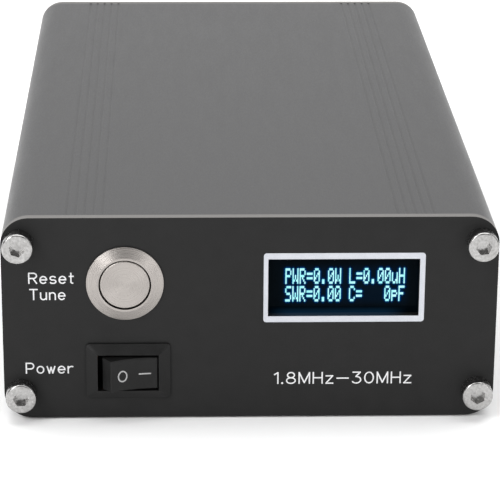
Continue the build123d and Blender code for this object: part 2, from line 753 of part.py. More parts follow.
def socket_screws():
    """Eight screws through the socket flanges, heads outside."""
    seat = REAR + SOCKET_FLANGE_DEPTH
    screws = []
    for side in (-1, 1):
        for x, z in corners(SOCKET_SCREW, SOCKET_SCREW):
            place = Pos(side * SOCKET_X + x, seat, MIDDLE_Z + z)
            head = rod_y(0, 0, 2.7, 0, 1.8)
            head = fillet(head.edges().group_by(Axis.Y)[-1], 0.7)
            head = head - Pos(0, 1.8, 0) * Box(2.8, 1.6, 0.6) - Pos(0, 1.8, 0) * Box(0.6, 1.6, 2.8)
            screws.append(place * (head + rod_y(0, 0, SCREW_RADIUS, -7.5, 0)))
    return separate(screws)


def socket_nuts():
    """Eight nuts behind the rear plate."""
    nuts = []
    for side in (-1, 1):
        for x, z in corners(SOCKET_SCREW, SOCKET_SCREW):
            centre_x, centre_z = side * SOCKET_X + x, MIDDLE_Z + z
            nut = hexagon_y(centre_x, centre_z, 5.5, REAR_INSIDE - 2.4, REAR_INSIDE)
            nuts.append(nut - rod_y(centre_x, centre_z, SCREW_RADIUS + 0.02, REAR_INSIDE - 3, REAR))
    return separate(nuts)


def ground_stud():
    """Threaded ground post."""
    stud = rod_y(0, GROUND_Z, GROUND_RADIUS, REAR_INSIDE - 5.5, REAR + 15)
    return chamfer(stud.edges().group_by(Axis.Y)[-1], 0.5)


def ground_nuts():
    """The post's two clamping nuts, one each side of the rear plate."""
    nuts = []
    for y0 in (REAR_INSIDE - 3.5, REAR):
        nut = hexagon_y(0, GROUND_Z, 8.0, y0, y0 + 3.5)
        nuts.append(nut - rod_y(0, GROUND_Z, GROUND_RADIUS + 0.02, y0 - 1, y0 + 5))
    return separate(nuts)


def ground_washer():
    """Captive washer that travels with the thumb nut."""
    washer = rod_y(0, GROUND_Z, 5.0, REAR + 3.8, REAR + 4.8)
    return washer - rod_y(0, GROUND_Z, GROUND_RADIUS + 0.08, REAR, REAR + 9)


def ground_thumb_nut():
    """Fluted thumb nut on the ground post."""
    nut = rod_y(0, GROUND_Z, THUMB_NUT_RADIUS, REAR + 5.1, REAR + 11.1)
    nut = chamfer(nut.edges().filter_by(GeomType.CIRCLE), 0.4)
    nut = nut - rod_y(0, GROUND_Z, GROUND_RADIUS + 0.06, REAR, REAR + 15)
    flute = rod_y(THUMB_NUT_RADIUS + 0.25, 0, 0.55, REAR + 4, REAR + 12)
    for index in range(24):
        nut = nut - Pos(0, 0, GROUND_Z) * Rot(0, 15 * index, 0) * flute
    return nut


def dc_jack_body():
    """Panel supply inlet: flange outside, barrel through the plate."""
    flange = rod_y(0, JACK_Z, 5.5, REAR, REAR + JACK_FLANGE)
    flange = chamfer(flange.edges().group_by(Axis.Y)[-1], 0.4)
    barrel = rod_y(0, JACK_Z, JACK_RADIUS, REAR - 12.6, REAR)
    bore = rod_y(0, JACK_Z, 2.1, REAR - 8.4, REAR + JACK_FLANGE + 1)
    rear_bore = rod_y(0, JACK_Z, 0.82, REAR - 14, REAR - 8)
    slot = block(-0.3 + 1.6, 0.3 + 1.6, REAR - 13, REAR - 11, JACK_Z - 0.8, JACK_Z + 0.8)
    return flange + barrel - bore - rear_bore - slot


def dc_jack_pin():
    """The inlet's centre pin with its rear tail, and the sleeve's tail."""
    pin = rod_y(0, JACK_Z, 0.8, REAR - 12.6, REAR + JACK_FLANGE - 1.2)
    tail = block(-2.0, 0.4, REAR - 14.6, REAR - 12.6, JACK_Z - 0.7, JACK_Z + 0.7)
    sleeve_tail = block(1.35, 1.85, REAR - 14.6, REAR - 11.1, JACK_Z - 0.7, JACK_Z + 0.7)
    return separate([pin + tail, sleeve_tail])


def dc_jack_nut():
    """Inlet's nut behind the rear plate."""
    nut = hexagon_y(0, JACK_Z, 10.0, REAR_INSIDE - 2.0, REAR_INSIDE)
    return nut - rod_y(0, JACK_Z, JACK_RADIUS + 0.02, REAR_INSIDE - 4, REAR)


# ---------------------------------------------------------------- supply lead
def lead_plug():
    """Coaxial plug barrel inside the inlet."""
    end = REAR + JACK_FLANGE
    barrel = rod_y(0, JACK_Z, 2.0, end - 9.5, end)
    return barrel - rod_y(0, JACK_Z, 0.95, end - 10, end + 1)


def lead_plug_body():
    """Moulded grip that tapers into the ribbed strain relief."""
    start = REAR + JACK_FLANGE
    grip = rod_y(0, JACK_Z, 4.4, start, start + 11)
    grip = fillet(grip.edges().group_by(Axis.Y)[0], 0.5)
    relief = cone_y(0, JACK_Z, 4.4, 2.1, start + 11, start + PLUG_BODY)
    body = grip + relief
    for index in range(3):
        y = start + 13.5 + 2.0 * index
        ring = rod_y(0, JACK_Z, 6, y, y + 0.8) - rod_y(0, JACK_Z, 3.2 - 0.42 * index, y - 1, y + 2)
        body = body - ring
    return body


def lead_cord():
    """The lead outside its hank: from the plug down to the hank, and the tail beyond the tie."""
    return separate([tube(LEAD_ROUTE, CORD_RADIUS), tube(TAIL_ROUTE, CORD_RADIUS)])


def lead_hank():
    """Outer shape of the flat two-lobed hank, pinched in the middle by the tie."""
    outline = Sketch()
    for side in (-1, 1):
        waist = Circle(HANK_WAIST).edges()
        near = Pos(-HANK_CORNER_X, side * HANK_CORNER_Y) * Circle(HANK_CORNER).edges()[0]
        far = Pos(HANK_CORNER_X, side * HANK_CORNER_Y) * Circle(HANK_CORNER).edges()[0]
        outline = outline + make_hull([*waist, near, far])
    hank = along_z(Pos(HANK_X, HANK_Y) * outline, HANK_BOTTOM - 0.6, HANK_BOTTOM + HANK_HEIGHT)
    gap = TIE_WIDTH / 2 + 0.05
    under_tie = block(HANK_X - 12, HANK_X + 12, HANK_Y - gap, HANK_Y + gap, 0, HANK_BOTTOM)
    return hank - under_tie


def lead_tie():
    """Flat tie wrapped round the hank's middle."""
    inner = (2 * HANK_WAIST + 1.2, HANK_HEIGHT + 0.05)
    outer = (inner[0] + 2 * TIE_THICKNESS, inner[1] + 2 * TIE_THICKNESS)
    ring = RectangleRounded(*outer, 1.6) - RectangleRounded(*inner, 1.0)
    centre_z = HANK_BOTTOM + inner[1] / 2
    return Pos(HANK_X, HANK_Y, centre_z) * along_y(ring, -TIE_WIDTH / 2, TIE_WIDTH / 2)


def lead_wire_ends():
    """The two stripped conductors at the lead's free end."""
    x, y, z = TAIL_ROUTE[-1]
    ends = []
    for side, reach in ((-1, 13.0), (1, 14.5)):
        start = (x + side * 0.68, y, z)
        bend = (x + side * 0.9, y + 4.0, z - 0.3)
        tip = (x + side * 2.6, y + reach, z - 0.9)
        ends.append(tube([start, bend, tip], 0.6, radii=[8.0]))
    return separate(ends)


# ---------------------------------------------------------------- export
NODES = {
    "case_top": case_top,
    "case_bottom": case_bottom,
    "front_panel": front_panel,
    "rear_panel": rear_panel,
    "front_panel_screws": lambda: panel_screws(FRONT, 0),
    "rear_panel_screws": lambda: panel_screws(REAR, 180),
    "tune_button_body": tune_button_body,
    "tune_button_cap": tune_button_cap,
    "tune_button_spring": tune_button_spring,
    "tune_button_seal": tune_button_seal,
    "tune_button_nut": tune_button_nut,
    "tune_button_base": tune_button_base,
    "tune_button_terminals": tune_button_terminals,
    "power_switch_body": power_switch_body,
    "power_switch_rocker": power_switch_rocker,
    "power_switch_lever": power_switch_lever,
    "power_switch_terminals": power_switch_terminals,
    "display_gasket": display_gasket,
    "display_glass": display_glass,
    "display_board": display_board,
    "display_pins": display_pins,
    "main_board": main_board,
    "inductor_relays": inductor_relays,
    "capacitor_relays": capacitor_relays,
    "network_relay": network_relay,
    "air_coils": air_coils,
    "toroid_cores": toroid_cores,
    "toroid_windings": toroid_windings,
    "bridge_cores": bridge_cores,
    "bridge_windings": bridge_windings,
    "microcontroller": microcontroller,
    "relay_drivers": relay_drivers,
    "voltage_regulator": voltage_regulator,
    "electrolytic_capacitors": electrolytic_capacitors,
    "tuning_capacitors": tuning_capacitors,
    "small_parts": small_parts,
    "board_connectors": board_connectors,
    "panel_wires": panel_wires,
    "rf_leads": rf_leads,
    "input_socket_shell": lambda: socket_shell(-SOCKET_X),
    "input_socket_insulator": lambda: socket_insulator(-SOCKET_X),
    "input_socket_contact": lambda: socket_contact(-SOCKET_X),
    "antenna_socket_shell": lambda: socket_shell(SOCKET_X),
    "antenna_socket_insulator": lambda: socket_insulator(SOCKET_X),
    "antenna_socket_contact": lambda: socket_contact(SOCKET_X),
    "socket_screws": socket_screws,
    "socket_nuts": socket_nuts,
    "ground_stud": ground_stud,
    "ground_nuts": ground_nuts,
    "ground_washer": ground_washer,
    "ground_thumb_nut": ground_thumb_nut,
    "dc_jack_body": dc_jack_body,
    "dc_jack_pin": dc_jack_pin,
    "dc_jack_nut": dc_jack_nut,
    "lead_plug": lead_plug,
    "lead_plug_body": lead_plug_body,
    "lead_cord": lead_cord,
    "lead_hank": lead_hank,
    "lead_tie": lead_tie,
    "lead_wire_ends": lead_wire_ends,
}


def main():
    """Write one STEP file for each sub-part and print the lead's bends."""
    os.makedirs("parts", exist_ok=True)
    for name, make in NODES.items():
        export_step(make(), os.path.join("parts", name + ".step"))
    for label, route in (("lead", LEAD_ROUTE), ("tail", TAIL_ROUTE)):
        print(label, "bend radii", [round(radius, 1) for radius in corner_radii(route)])


main()
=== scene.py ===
"""Looks of the antenna tuner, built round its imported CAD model.

Sizes are in millimetres and become metres through MM; the lead's route is in metres.
"""

import json
import math

import bmesh
import bpy
from mathutils import Matrix, Vector


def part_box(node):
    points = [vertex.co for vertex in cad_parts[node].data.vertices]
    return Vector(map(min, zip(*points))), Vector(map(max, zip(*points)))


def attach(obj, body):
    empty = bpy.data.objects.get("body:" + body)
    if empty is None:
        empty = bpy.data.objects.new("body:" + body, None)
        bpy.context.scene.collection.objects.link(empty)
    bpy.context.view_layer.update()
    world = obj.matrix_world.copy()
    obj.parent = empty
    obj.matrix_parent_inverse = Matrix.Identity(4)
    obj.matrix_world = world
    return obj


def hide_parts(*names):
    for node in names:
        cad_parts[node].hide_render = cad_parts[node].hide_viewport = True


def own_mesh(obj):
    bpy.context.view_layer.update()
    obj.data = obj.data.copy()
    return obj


MM = 0.001
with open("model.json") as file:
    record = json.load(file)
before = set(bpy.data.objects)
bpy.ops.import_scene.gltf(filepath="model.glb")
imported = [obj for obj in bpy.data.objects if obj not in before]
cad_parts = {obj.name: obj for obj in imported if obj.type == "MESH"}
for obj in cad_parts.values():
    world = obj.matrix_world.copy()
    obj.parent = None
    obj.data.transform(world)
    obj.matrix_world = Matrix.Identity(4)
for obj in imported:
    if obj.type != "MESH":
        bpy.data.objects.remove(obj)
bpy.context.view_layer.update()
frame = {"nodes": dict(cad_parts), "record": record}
scene = bpy.context.scene


# ---------------------------------------------------------------- places read from the frame
def box_mm(node):
    """The lowest and highest corners of a CAD node's box, in millimetres."""
    low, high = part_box(node)
    return Vector(low) / MM, Vector(high) / MM


def middle_mm(node):
    """The middle of a CAD node's box, in millimetres."""
    low, high = box_mm(node)
    return (low + high) / 2


FRONT = box_mm("front_panel")[0].y
MIDDLE_Z = middle_mm("front_panel").z
BUTTON = middle_mm("tune_button_cap")
SWITCH = middle_mm("power_switch_body")
GLASS_FACE = box_mm("display_glass")[0].y
WINDOW_X = middle_mm("display_glass").x
WINDOW_Z = middle_mm("display_glass").z
STUD = middle_mm("ground_stud")
SOCKETS = {"input": middle_mm("input_socket_contact"), "antenna": middle_mm("antenna_socket_contact")}

# the display window, the line printed round it, and the readout, whose letters are 5 by 14 cells
WINDOW = (26.9, 10.8)
FRAME_LINE = (28.65, 13.05)
FRAME_SHIFT = 0.08
WINDOW_CORNER = 0.02
FRAME_CORNER = 0.55
SILL = WINDOW_Z - WINDOW[1] / 2
LINES = ("PWR=0.0W L=0.00uH", "SWR=0.00 C=   0pF")
CELL = 0.211
LETTER_PITCH = 6
LINE_PITCH = 16
READOUT_LEFT = 6.32
READOUT_TOP = MIDDLE_Z + 8.55
READOUT_WIDTH = (LETTER_PITCH * len(LINES[0]) - 1) * CELL
READOUT_HEIGHT = (LINE_PITCH * len(LINES) - 2) * CELL

# ---------------------------------------------------------------- camera
CAMERA_PLACE = (-0.014126, -0.481197, 0.179436)
CAMERA_TURN = 1.9835
CAMERA_DIP = 20.0209
CAMERA_ROLL = 0.4384
CAMERA_LENS = 176.05
CAMERA_SENSOR = 36


def make_camera():
    """A long lens in front of the case, a little above it."""
    turn, dip, roll = (math.radians(angle) for angle in (CAMERA_TURN, CAMERA_DIP, CAMERA_ROLL))
    forward = Vector((math.sin(turn) * math.cos(dip), math.cos(turn) * math.cos(dip), -math.sin(dip)))
    level = Vector((math.cos(turn), -math.sin(turn), 0))
    upright = level.cross(forward)
    right = level * math.cos(roll) + upright * math.sin(roll)
    up = upright * math.cos(roll) - level * math.sin(roll)
    data = bpy.data.cameras.new("camera")
    data.lens = CAMERA_LENS
    data.sensor_width = CAMERA_SENSOR
    camera = bpy.data.objects.new("camera", data)
    aim = Matrix((right, up, -forward)).transposed()
    camera.matrix_world = Matrix.Translation(CAMERA_PLACE) @ aim.to_4x4()
    scene.collection.objects.link(camera)
    scene.camera = camera


make_camera()


# ---------------------------------------------------------------- material building blocks
def shader_of(material):
    """The material's Principled shader."""
    return material.node_tree.nodes["Principled BSDF"]


def finish_of(name, colour, roughness, metallic=0.0, **constants):
    """A new Principled material. The constants are set on the shader's own sockets."""
    material = bpy.data.materials.new(name)
    material.use_nodes = True
    sockets = shader_of(material).inputs
    sockets["Base Color"].default_value = (*colour, 1)
    sockets["Roughness"].default_value = roughness
    sockets["Metallic"].default_value = metallic
    for socket, value in constants.items():
        sockets[socket.replace("_", " ")].default_value = value
    return material


def feed_input(owner, socket, feed):
    """Links an output to a node's input, or sets the input to a value."""
    if isinstance(feed, bpy.types.NodeSocket):
        owner.node_tree.links.new(feed, socket)
    else:
        socket.default_value = feed


def node(owner, kind, *feeds, **settings):
    """A new node of a material or world, with feeds as its first inputs and settings as its own values."""
    made = owner.node_tree.nodes.new(kind)
    for key, value in settings.items():
        setattr(made, key, value)
    for socket, feed in zip(made.inputs, feeds):
        feed_input(owner, socket, feed)
    return made


def drive(material, socket, output):
    """Links an output to one of the shader's sockets."""
    material.node_tree.links.new(output, shader_of(material).inputs[socket])


def source_of(material, socket):
    """The output that now feeds one of the shader's sockets."""
    return shader_of(material).inputs[socket].links[0].from_socket


def light_up(material, output):
    """The surface gives off light of its own, in that colour."""
    drive(material, "Emission Color", output)
    shader_of(material).inputs["Emission Strength"].default_value = 1.0


def place_of(material):
    """The point on the surface, in the frame's metres."""
    return node(material, "ShaderNodeTexCoord").outputs["Object"]


def noise(material, spot, stretch=(1, 1, 1), detail=3.0, offset=0.0):
    """Noise whose spots are spot millimetres across, drawn out by stretch."""
    scale = tuple(1 / (spot * MM * amount) for amount in stretch)
    mapping = node(material, "ShaderNodeMapping", place_of(material), (offset,) * 3, (0, 0, 0), scale)
    texture = node(material, "ShaderNodeTexNoise", mapping.outputs[0])
    texture.inputs["Scale"].default_value = 1.0
    texture.inputs["Detail"].default_value = detail
    return texture.outputs["Fac"]


def remap(owner, value, low, high, to_low, to_high, smooth=False):
    """The value's stretch from low to high, moved to another range and clamped."""
    ranges = (value, low, high, to_low, to_high)
    kind = "SMOOTHSTEP" if smooth else "LINEAR"
    return node(owner, "ShaderNodeMapRange", *ranges, interpolation_type=kind).outputs[0]


def blend(material, factor, first, second):
    """A colour between first, at 0, and second, at 1."""
    mixer = node(material, "ShaderNodeMix", factor, data_type="RGBA")
    for index, colour in ((6, first), (7, second)):
        constant = isinstance(colour, tuple)
        feed_input(material, mixer.inputs[index], (*colour, 1) if constant else colour)
    return mixer.outputs[2]


def maths(material, operation, *values):
    """One arithmetic step."""
    return node(material, "ShaderNodeMath", *values, operation=operation).outputs[0]


def axis_value(material, axis):
    """One coordinate of the surface point, in metres."""
    return node(material, "ShaderNodeSeparateXYZ", place_of(material)).outputs[axis]


def distance_from(material, axis, place):
    """How far the surface point lies from a place in millimetres along one axis, in metres."""
    return maths(material, "ABSOLUTE", maths(material, "SUBTRACT", axis_value(material, axis), place * MM))


def bump(material, height, depth):
    """Relief of that depth in millimetres, from a height of 0 to 1."""
    relief = node(material, "ShaderNodeBump")
    relief.inputs["Strength"].default_value = 1.0
    relief.inputs["Distance"].default_value = depth * MM
    material.node_tree.links.new(height, relief.inputs["Height"])
    drive(material, "Normal", relief.outputs[0])


# a speckled surface: the share of its finer noise, and how many times as wide its broader spots are
FINE_SHARE = 0.65
BROAD_SPOTS = 14


def speckled(name, dark, light, rough, spot, relief, stretch=(1, 1, 1), metallic=0.0, **constants):
    """A surface whose colour, gloss and height vary together with one fine noise."""
    material = finish_of(name, light, rough[0], metallic, **constants)
    fine = noise(material, spot, stretch)
    broad = noise(material, spot * BROAD_SPOTS, stretch, 2.0, 3.7)
    rest = maths(material, "MULTIPLY", broad, 1 - FINE_SHARE)
    mixed = maths(material, "MULTIPLY_ADD", fine, FINE_SHARE, rest)
    drive(material, "Base Color", blend(material, remap(material, mixed, 0.35, 0.65, 0, 1), dark, light))
    drive(material, "Roughness", remap(material, mixed, 0.35, 0.65, rough[0], rough[1]))
    bump(material, fine, relief)
    return material


def turned(name, centre, dark, light, rough, groove, relief, anisotropy):
    """Metal turned about a Y axis through centre, with uneven concentric tool marks."""
    material = finish_of(name, light, rough[0], 1.0, Anisotropic=anisotropy)
    hub = tuple(centre * MM)
    offset = node(material, "ShaderNodeVectorMath", place_of(material), hub, operation="SUBTRACT")
    flat = node(material, "ShaderNodeVectorMath", offset.outputs[0], (1, 0, 1), operation="MULTIPLY")
    radius = node(material, "ShaderNodeVectorMath", flat.outputs[0], operation="LENGTH").outputs["Value"]
    marks = node(material, "ShaderNodeTexNoise", noise_dimensions="1D")
    marks.inputs["Scale"].default_value = 1.0
    marks.inputs["Detail"].default_value = 4.0
    material.node_tree.links.new(maths(material, "MULTIPLY", radius, 1 / (groove * MM)), marks.inputs["W"])
    lines = marks.outputs["Fac"]
    drive(material, "Base Color", blend(material, remap(material, lines, 0.3, 0.7, 0, 1), dark, light))
    drive(material, "Roughness", remap(material, lines, 0.3, 0.7, rough[0], rough[1]))
    bump(material, lines, relief)
    tangent = node(material, "ShaderNodeVectorMath", flat.outputs[0], (0, 1, 0), operation="CROSS_PRODUCT")
    drive(material, "Tangent", tangent.outputs[0])
    return material


# ---------------------------------------------------------------- the finishes
# the plate's cut edge: bare machined metal, made paler still by the highlight from the overhead light
# painted into its colour
EDGE_METAL_AND_HIGHLIGHT = (0.15, 0.145, 0.14)
# how far in from the plate's sides, and from its top and bottom, an edge still counts as its outline
OUTLINE_DEPTH = (2.5, 2.1)
# how far below a capacitor can's top its sleeve ends
SLEEVE_END = 0.6
SILL_LIGHT = (0.002, 0.013, 0.029)
# where along the sill its light is centred, and how far from there it begins to fade, and ends
SILL_LIGHT_X = WINDOW_X - 1
SILL_FADE = (8, 13)
# how far below and above the sill its light on the glass begins to fade, and ends
SILL_RISE = (0.3, 1.0)
# how far outside and inside the readout's edges the glass's own glow begins, and is full
GLOW_EDGE = (1.3, 0.5)
# the darkest and palest of the display glass, before its light
GLASS = (0.0006, 0.0014, 0.0024), (0.001, 0.0024, 0.004)


def black_anodised():
    """Matt black anodising over the extrusion's fine drawn lines."""
    dark, light = (0.018, 0.018, 0.019), (0.031, 0.031, 0.032)
    return speckled("black_anodised", dark, light, (0.36, 0.46), 0.16, 0.02, (1, 6, 1))


def along_sill(material):
    """1 along the middle of the window's sill, fading to 0 at its ends."""
    start, end = (distance * MM for distance in SILL_FADE)
    return remap(material, distance_from(material, "X", SILL_LIGHT_X), start, end, 1, 0, True)


def edge_highlight_mask(material, facing):
    """1 on the edge all round the plate, 0 on its faces and in its openings, where the paler bare metal and
    its painted highlight go.
    """
    edge = maths(material, "LESS_THAN", maths(material, "ABSOLUTE", facing.outputs["Y"]), 0.5)
    corner = box_mm("front_panel")[1]
    sideways = distance_from(material, "X", 0)
    outer_side = maths(material, "GREATER_THAN", sideways, (corner.x - OUTLINE_DEPTH[0]) * MM)
    rise = distance_from(material, "Z", MIDDLE_Z)
    outer_level = maths(material, "GREATER_THAN", rise, (corner.z - MIDDLE_Z - OUTLINE_DEPTH[1]) * MM)
    return maths(material, "MULTIPLY", edge, maths(material, "MAXIMUM", outer_side, outer_level))


def window_sill(material, facing):
    """1 on the lit part of the window's sill."""
    upward = maths(material, "GREATER_THAN", facing.outputs["Z"], 0.5)
    at_sill = maths(material, "LESS_THAN", distance_from(material, "Z", SILL), 0.1 * MM)
    return maths(material, "MULTIPLY", maths(material, "MULTIPLY", upward, at_sill), along_sill(material))


def panel_black():
    """Matt black plate whose cut edge is paler bare metal with a painted highlight, and the display's
    painted light on its window sill.
    """
    dark, light = (0.008, 0.008, 0.008), (0.013, 0.013, 0.013)
    material = speckled("panel_black", dark, light, (0.48, 0.58), 0.22, 0.006, Specular_IOR_Level=0.2)
    normal = node(material, "ShaderNodeTexCoord").outputs["Normal"]
    facing = node(material, "ShaderNodeSeparateXYZ", normal)
    black = source_of(material, "Base Color")
    # the edge's paleness is partly bare metal and partly a painted highlight
    drive(material, "Base Color", blend(material, edge_highlight_mask(material, facing), black, EDGE_METAL_AND_HIGHLIGHT))
    # painted light: the display's glow falling on the window's sill, given as emission
    light_up(material, blend(material, window_sill(material, facing), (0, 0, 0), SILL_LIGHT))
    return material


def steel():
    """Nickel-plated steel, a little uneven."""
    dark, light = (0.27, 0.265, 0.26), (0.46, 0.455, 0.45)
    return speckled("steel", dark, light, (0.12, 0.30), 0.45, 0.02, metallic=1.0)


def brushed_steel():
    """Stainless steel with concentric turning marks round the tune button."""
    dark, light = (0.31, 0.288, 0.272), (0.40, 0.373, 0.353)
    return turned("brushed_steel", BUTTON, dark, light, (0.24, 0.34), 0.12, 0.0035, 0.7)


def rubber():
    """Soft black rubber."""
    return speckled("rubber", (0.012, 0.012, 0.012), (0.024, 0.024, 0.024), (0.65, 0.8), 0.3, 0.02)


def nickel():
    """Bright nickel plate with faint stains."""
    dark, light = (0.42, 0.405, 0.38), (0.52, 0.505, 0.48)
    return speckled("nickel", dark, light, (0.20, 0.30), 0.9, 0.0012, metallic=1.0)


def black_plastic():
    """Moulded black plastic with an eroded texture."""
    dark, light = (0.012, 0.012, 0.013), (0.024, 0.024, 0.025)
    return speckled("black_plastic", dark, light, (0.42, 0.56), 0.25, 0.012)


def switch_plastic():
    """Satin black moulding of the rocker and its bezel."""
    dark, light = (0.004, 0.004, 0.004), (0.009, 0.009, 0.009)
    return speckled("switch_plastic", dark, light, (0.36, 0.48), 0.2, 0.012, Specular_IOR_Level=0.22)


def brass():
    """Plain brass, slightly tarnished."""
    dark, light = (0.60, 0.42, 0.16), (0.82, 0.63, 0.30)
    return speckled("brass", dark, light, (0.22, 0.40), 0.8, 0.006, metallic=1.0)


def copper():
    """Enamelled copper wire."""
    dark, light = (0.55, 0.20, 0.09), (0.80, 0.36, 0.18)
    return speckled("copper", dark, light, (0.18, 0.30), 1.2, 0.004, metallic=1.0)


def board_blue():
    """Blue solder mask."""
    return speckled("board_blue", (0.01, 0.03, 0.16), (0.02, 0.06, 0.26), (0.28, 0.4), 0.6, 0.01)


def board_green():
    """Green solder mask over copper tracks that stand out a little."""
    material = speckled("board_green", (0.008, 0.09, 0.03), (0.012, 0.13, 0.05), (0.26, 0.38), 0.5, 0.01)
    scaled = node(material, "ShaderNodeMapping", place_of(material), (0, 0, 0), (0, 0, 0), (160, 160, 160))
    grid = node(material, "ShaderNodeTexBrick", scaled.outputs[0])
    grid.inputs["Scale"].default_value = 1.0
    grid.inputs["Mortar Size"].default_value = 0.08
    tracks = grid.outputs["Fac"]
    mask = source_of(material, "Base Color")
    drive(material, "Base Color", blend(material, tracks, mask, (0.03, 0.22, 0.08)))
    bump(material, tracks, 0.05)
    return material


def relay_blue():
    """Glossy blue relay housing."""
    return speckled("relay_blue", (0.03, 0.14, 0.42), (0.05, 0.20, 0.55), (0.22, 0.34), 0.5, 0.008)


def iron_red():
    """Painted iron-powder core."""
    return speckled("iron_red", (0.42, 0.05, 0.03), (0.58, 0.09, 0.05), (0.42, 0.6), 0.3, 0.03)


def ferrite():
    """Bare pressed ferrite."""
    return speckled("ferrite", (0.03, 0.03, 0.032), (0.07, 0.07, 0.07), (0.5, 0.7), 0.3, 0.03)


def can_aluminium():
    """Sleeved capacitor cans: a dark sleeve with a bare top."""
    dark, light = (0.62, 0.63, 0.64), (0.76, 0.77, 0.78)
    material = speckled("can_aluminium", dark, light, (0.24, 0.4), 0.3, 0.004, metallic=1.0)
    top = box_mm("electrolytic_capacitors")[1].z
    sleeve = maths(material, "LESS_THAN", axis_value(material, "Z"), (top - SLEEVE_END) * MM)
    bare = source_of(material, "Base Color")
    drive(material, "Base Color", blend(material, sleeve, bare, (0.012, 0.014, 0.03)))
    drive(material, "Metallic", maths(material, "SUBTRACT", 1.0, sleeve))
    return material


def ceramic():
    """Tan fired ceramic."""
    return speckled("ceramic", (0.44, 0.31, 0.19), (0.60, 0.45, 0.30), (0.4, 0.55), 0.4, 0.01)


def white_plastic():
    """Cream nylon."""
    return speckled("white_plastic", (0.70, 0.67, 0.60), (0.82, 0.80, 0.74), (0.42, 0.55), 0.4, 0.01)


def wire_red():
    """Red hook-up wire."""
    return speckled("wire_red", (0.45, 0.02, 0.015), (0.62, 0.04, 0.03), (0.3, 0.42), 0.4, 0.006)


def ptfe():
    """Waxy white insulator."""
    return speckled("ptfe", (0.80, 0.79, 0.76), (0.90, 0.89, 0.86), (0.34, 0.46), 0.5, 0.006)


def cable_black():
    """Soft black jacket."""
    return speckled("cable_black", (0.010, 0.010, 0.011), (0.020, 0.020, 0.021), (0.42, 0.55), 0.35, 0.02)


def display_glass():
    """Dark display glass with a painted blue glow behind its two lit rows and the display's painted light
    near its sill.
    """
    material = speckled("display_glass", *GLASS, (0.06, 0.10), 2.0, 0.001, Specular_IOR_Level=0.012)
    across = axis_value(material, "X")
    level = axis_value(material, "Z")
    glow = 1.0
    edges = [
        (across, READOUT_LEFT, 1),
        (across, READOUT_LEFT + READOUT_WIDTH, -1),
        (level, READOUT_TOP - READOUT_HEIGHT, 1),
        (level, READOUT_TOP, -1),
    ]
    for value, edge, side in edges:
        start, full = (edge - side * GLOW_EDGE[0]) * MM, (edge + side * GLOW_EDGE[1]) * MM
        inside = remap(material, value, start, full, 0, 1, True)
        glow = maths(material, "MULTIPLY", glow, inside)
    # painted glow: the display's light spread on the glass round its lit rows
    rows = blend(material, glow, (0, 0.0006, 0.001), (0, 0.003, 0.009))
    # painted light: the display's glow on the glass just above the sill
    low = remap(material, level, (SILL - SILL_RISE[0]) * MM, (SILL + SILL_RISE[1]) * MM, 1, 0, True)
    band = maths(material, "MULTIPLY", low, along_sill(material))
    light_up(material, blend(material, band, rows, SILL_LIGHT))
    return material


# ---------------------------------------------------------------- piece building blocks
def adopt(piece, body, material):
    """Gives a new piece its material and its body."""
    scene.collection.objects.link(piece)
    piece.data.materials.append(material)
    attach(piece, body)
    return piece


def mesh_piece(name, points, faces, body, material, sharp=35):
    """A mesh piece from points in millimetres, smooth except at its sharp edges."""
    mesh = bpy.data.meshes.new(name)
    mesh.from_pydata([Vector(point) * MM for point in points], [], faces)
    work = bmesh.new()
    work.from_mesh(mesh)
    bmesh.ops.remove_doubles(work, verts=work.verts, dist=1e-7)
    bmesh.ops.recalc_face_normals(work, faces=work.faces)
    for face in work.faces:
        face.smooth = True
    work.to_mesh(mesh)
    work.free()
    mesh.set_sharp_from_angle(angle=math.radians(sharp))
    return adopt(bpy.data.objects.new(name, mesh), body, material)


def wire_curve(name, paths, radius, steps_round, steps_along, smooth, closed=False):
    """Round wire along one or more paths, with the paths and the radius in metres."""
    curve = bpy.data.curves.new(name, "CURVE")
    curve.dimensions = "3D"
    curve.bevel_depth = radius
    curve.bevel_resolution = steps_round
    curve.resolution_u = steps_along
    curve.use_fill_caps = True
    for path in paths:
        spline = curve.splines.new("NURBS" if smooth else "POLY")
        spline.points.add(len(path) - 1)
        for target, point in zip(spline.points, path):
            target.co = (*point, 1)
        if smooth:
            spline.order_u = 3
            spline.use_endpoint_u = True
        spline.use_cyclic_u = closed
    return bpy.data.objects.new(name, curve)


def wire_piece(name, paths, radius, body, slot, material, smooth=False, closed=False):
    """A piece of round wire along one or more paths of points in millimetres."""
    metres = [[Vector(point) * MM for point in path] for path in paths]
    wire = wire_curve(name, metres, radius * MM, 4, 6, smooth, closed)
    return adopt(wire, body, material)


def wrapped_faces(rows, segments):
    """Quads of a grid of points that closes on itself both ways."""
    faces = []
    for row in range(rows):
        following = (row + 1) % rows
        for step in range(segments):
            beside = (step + 1) % segments
            corners = (row, step), (row, beside), (following, beside), (following, step)
            faces.append(tuple(r * segments + s for r, s in corners))
    return faces


def ease(share):
    """A smooth step from 0 to 1."""
    share = min(max(share, 0.0), 1.0)
    return share * share * (3 - 2 * share)


def signed_power(value, power):
    """The value's size raised to a power, with its own sign: it squares off a circle."""
    return math.copysign(abs(value) ** power, value)


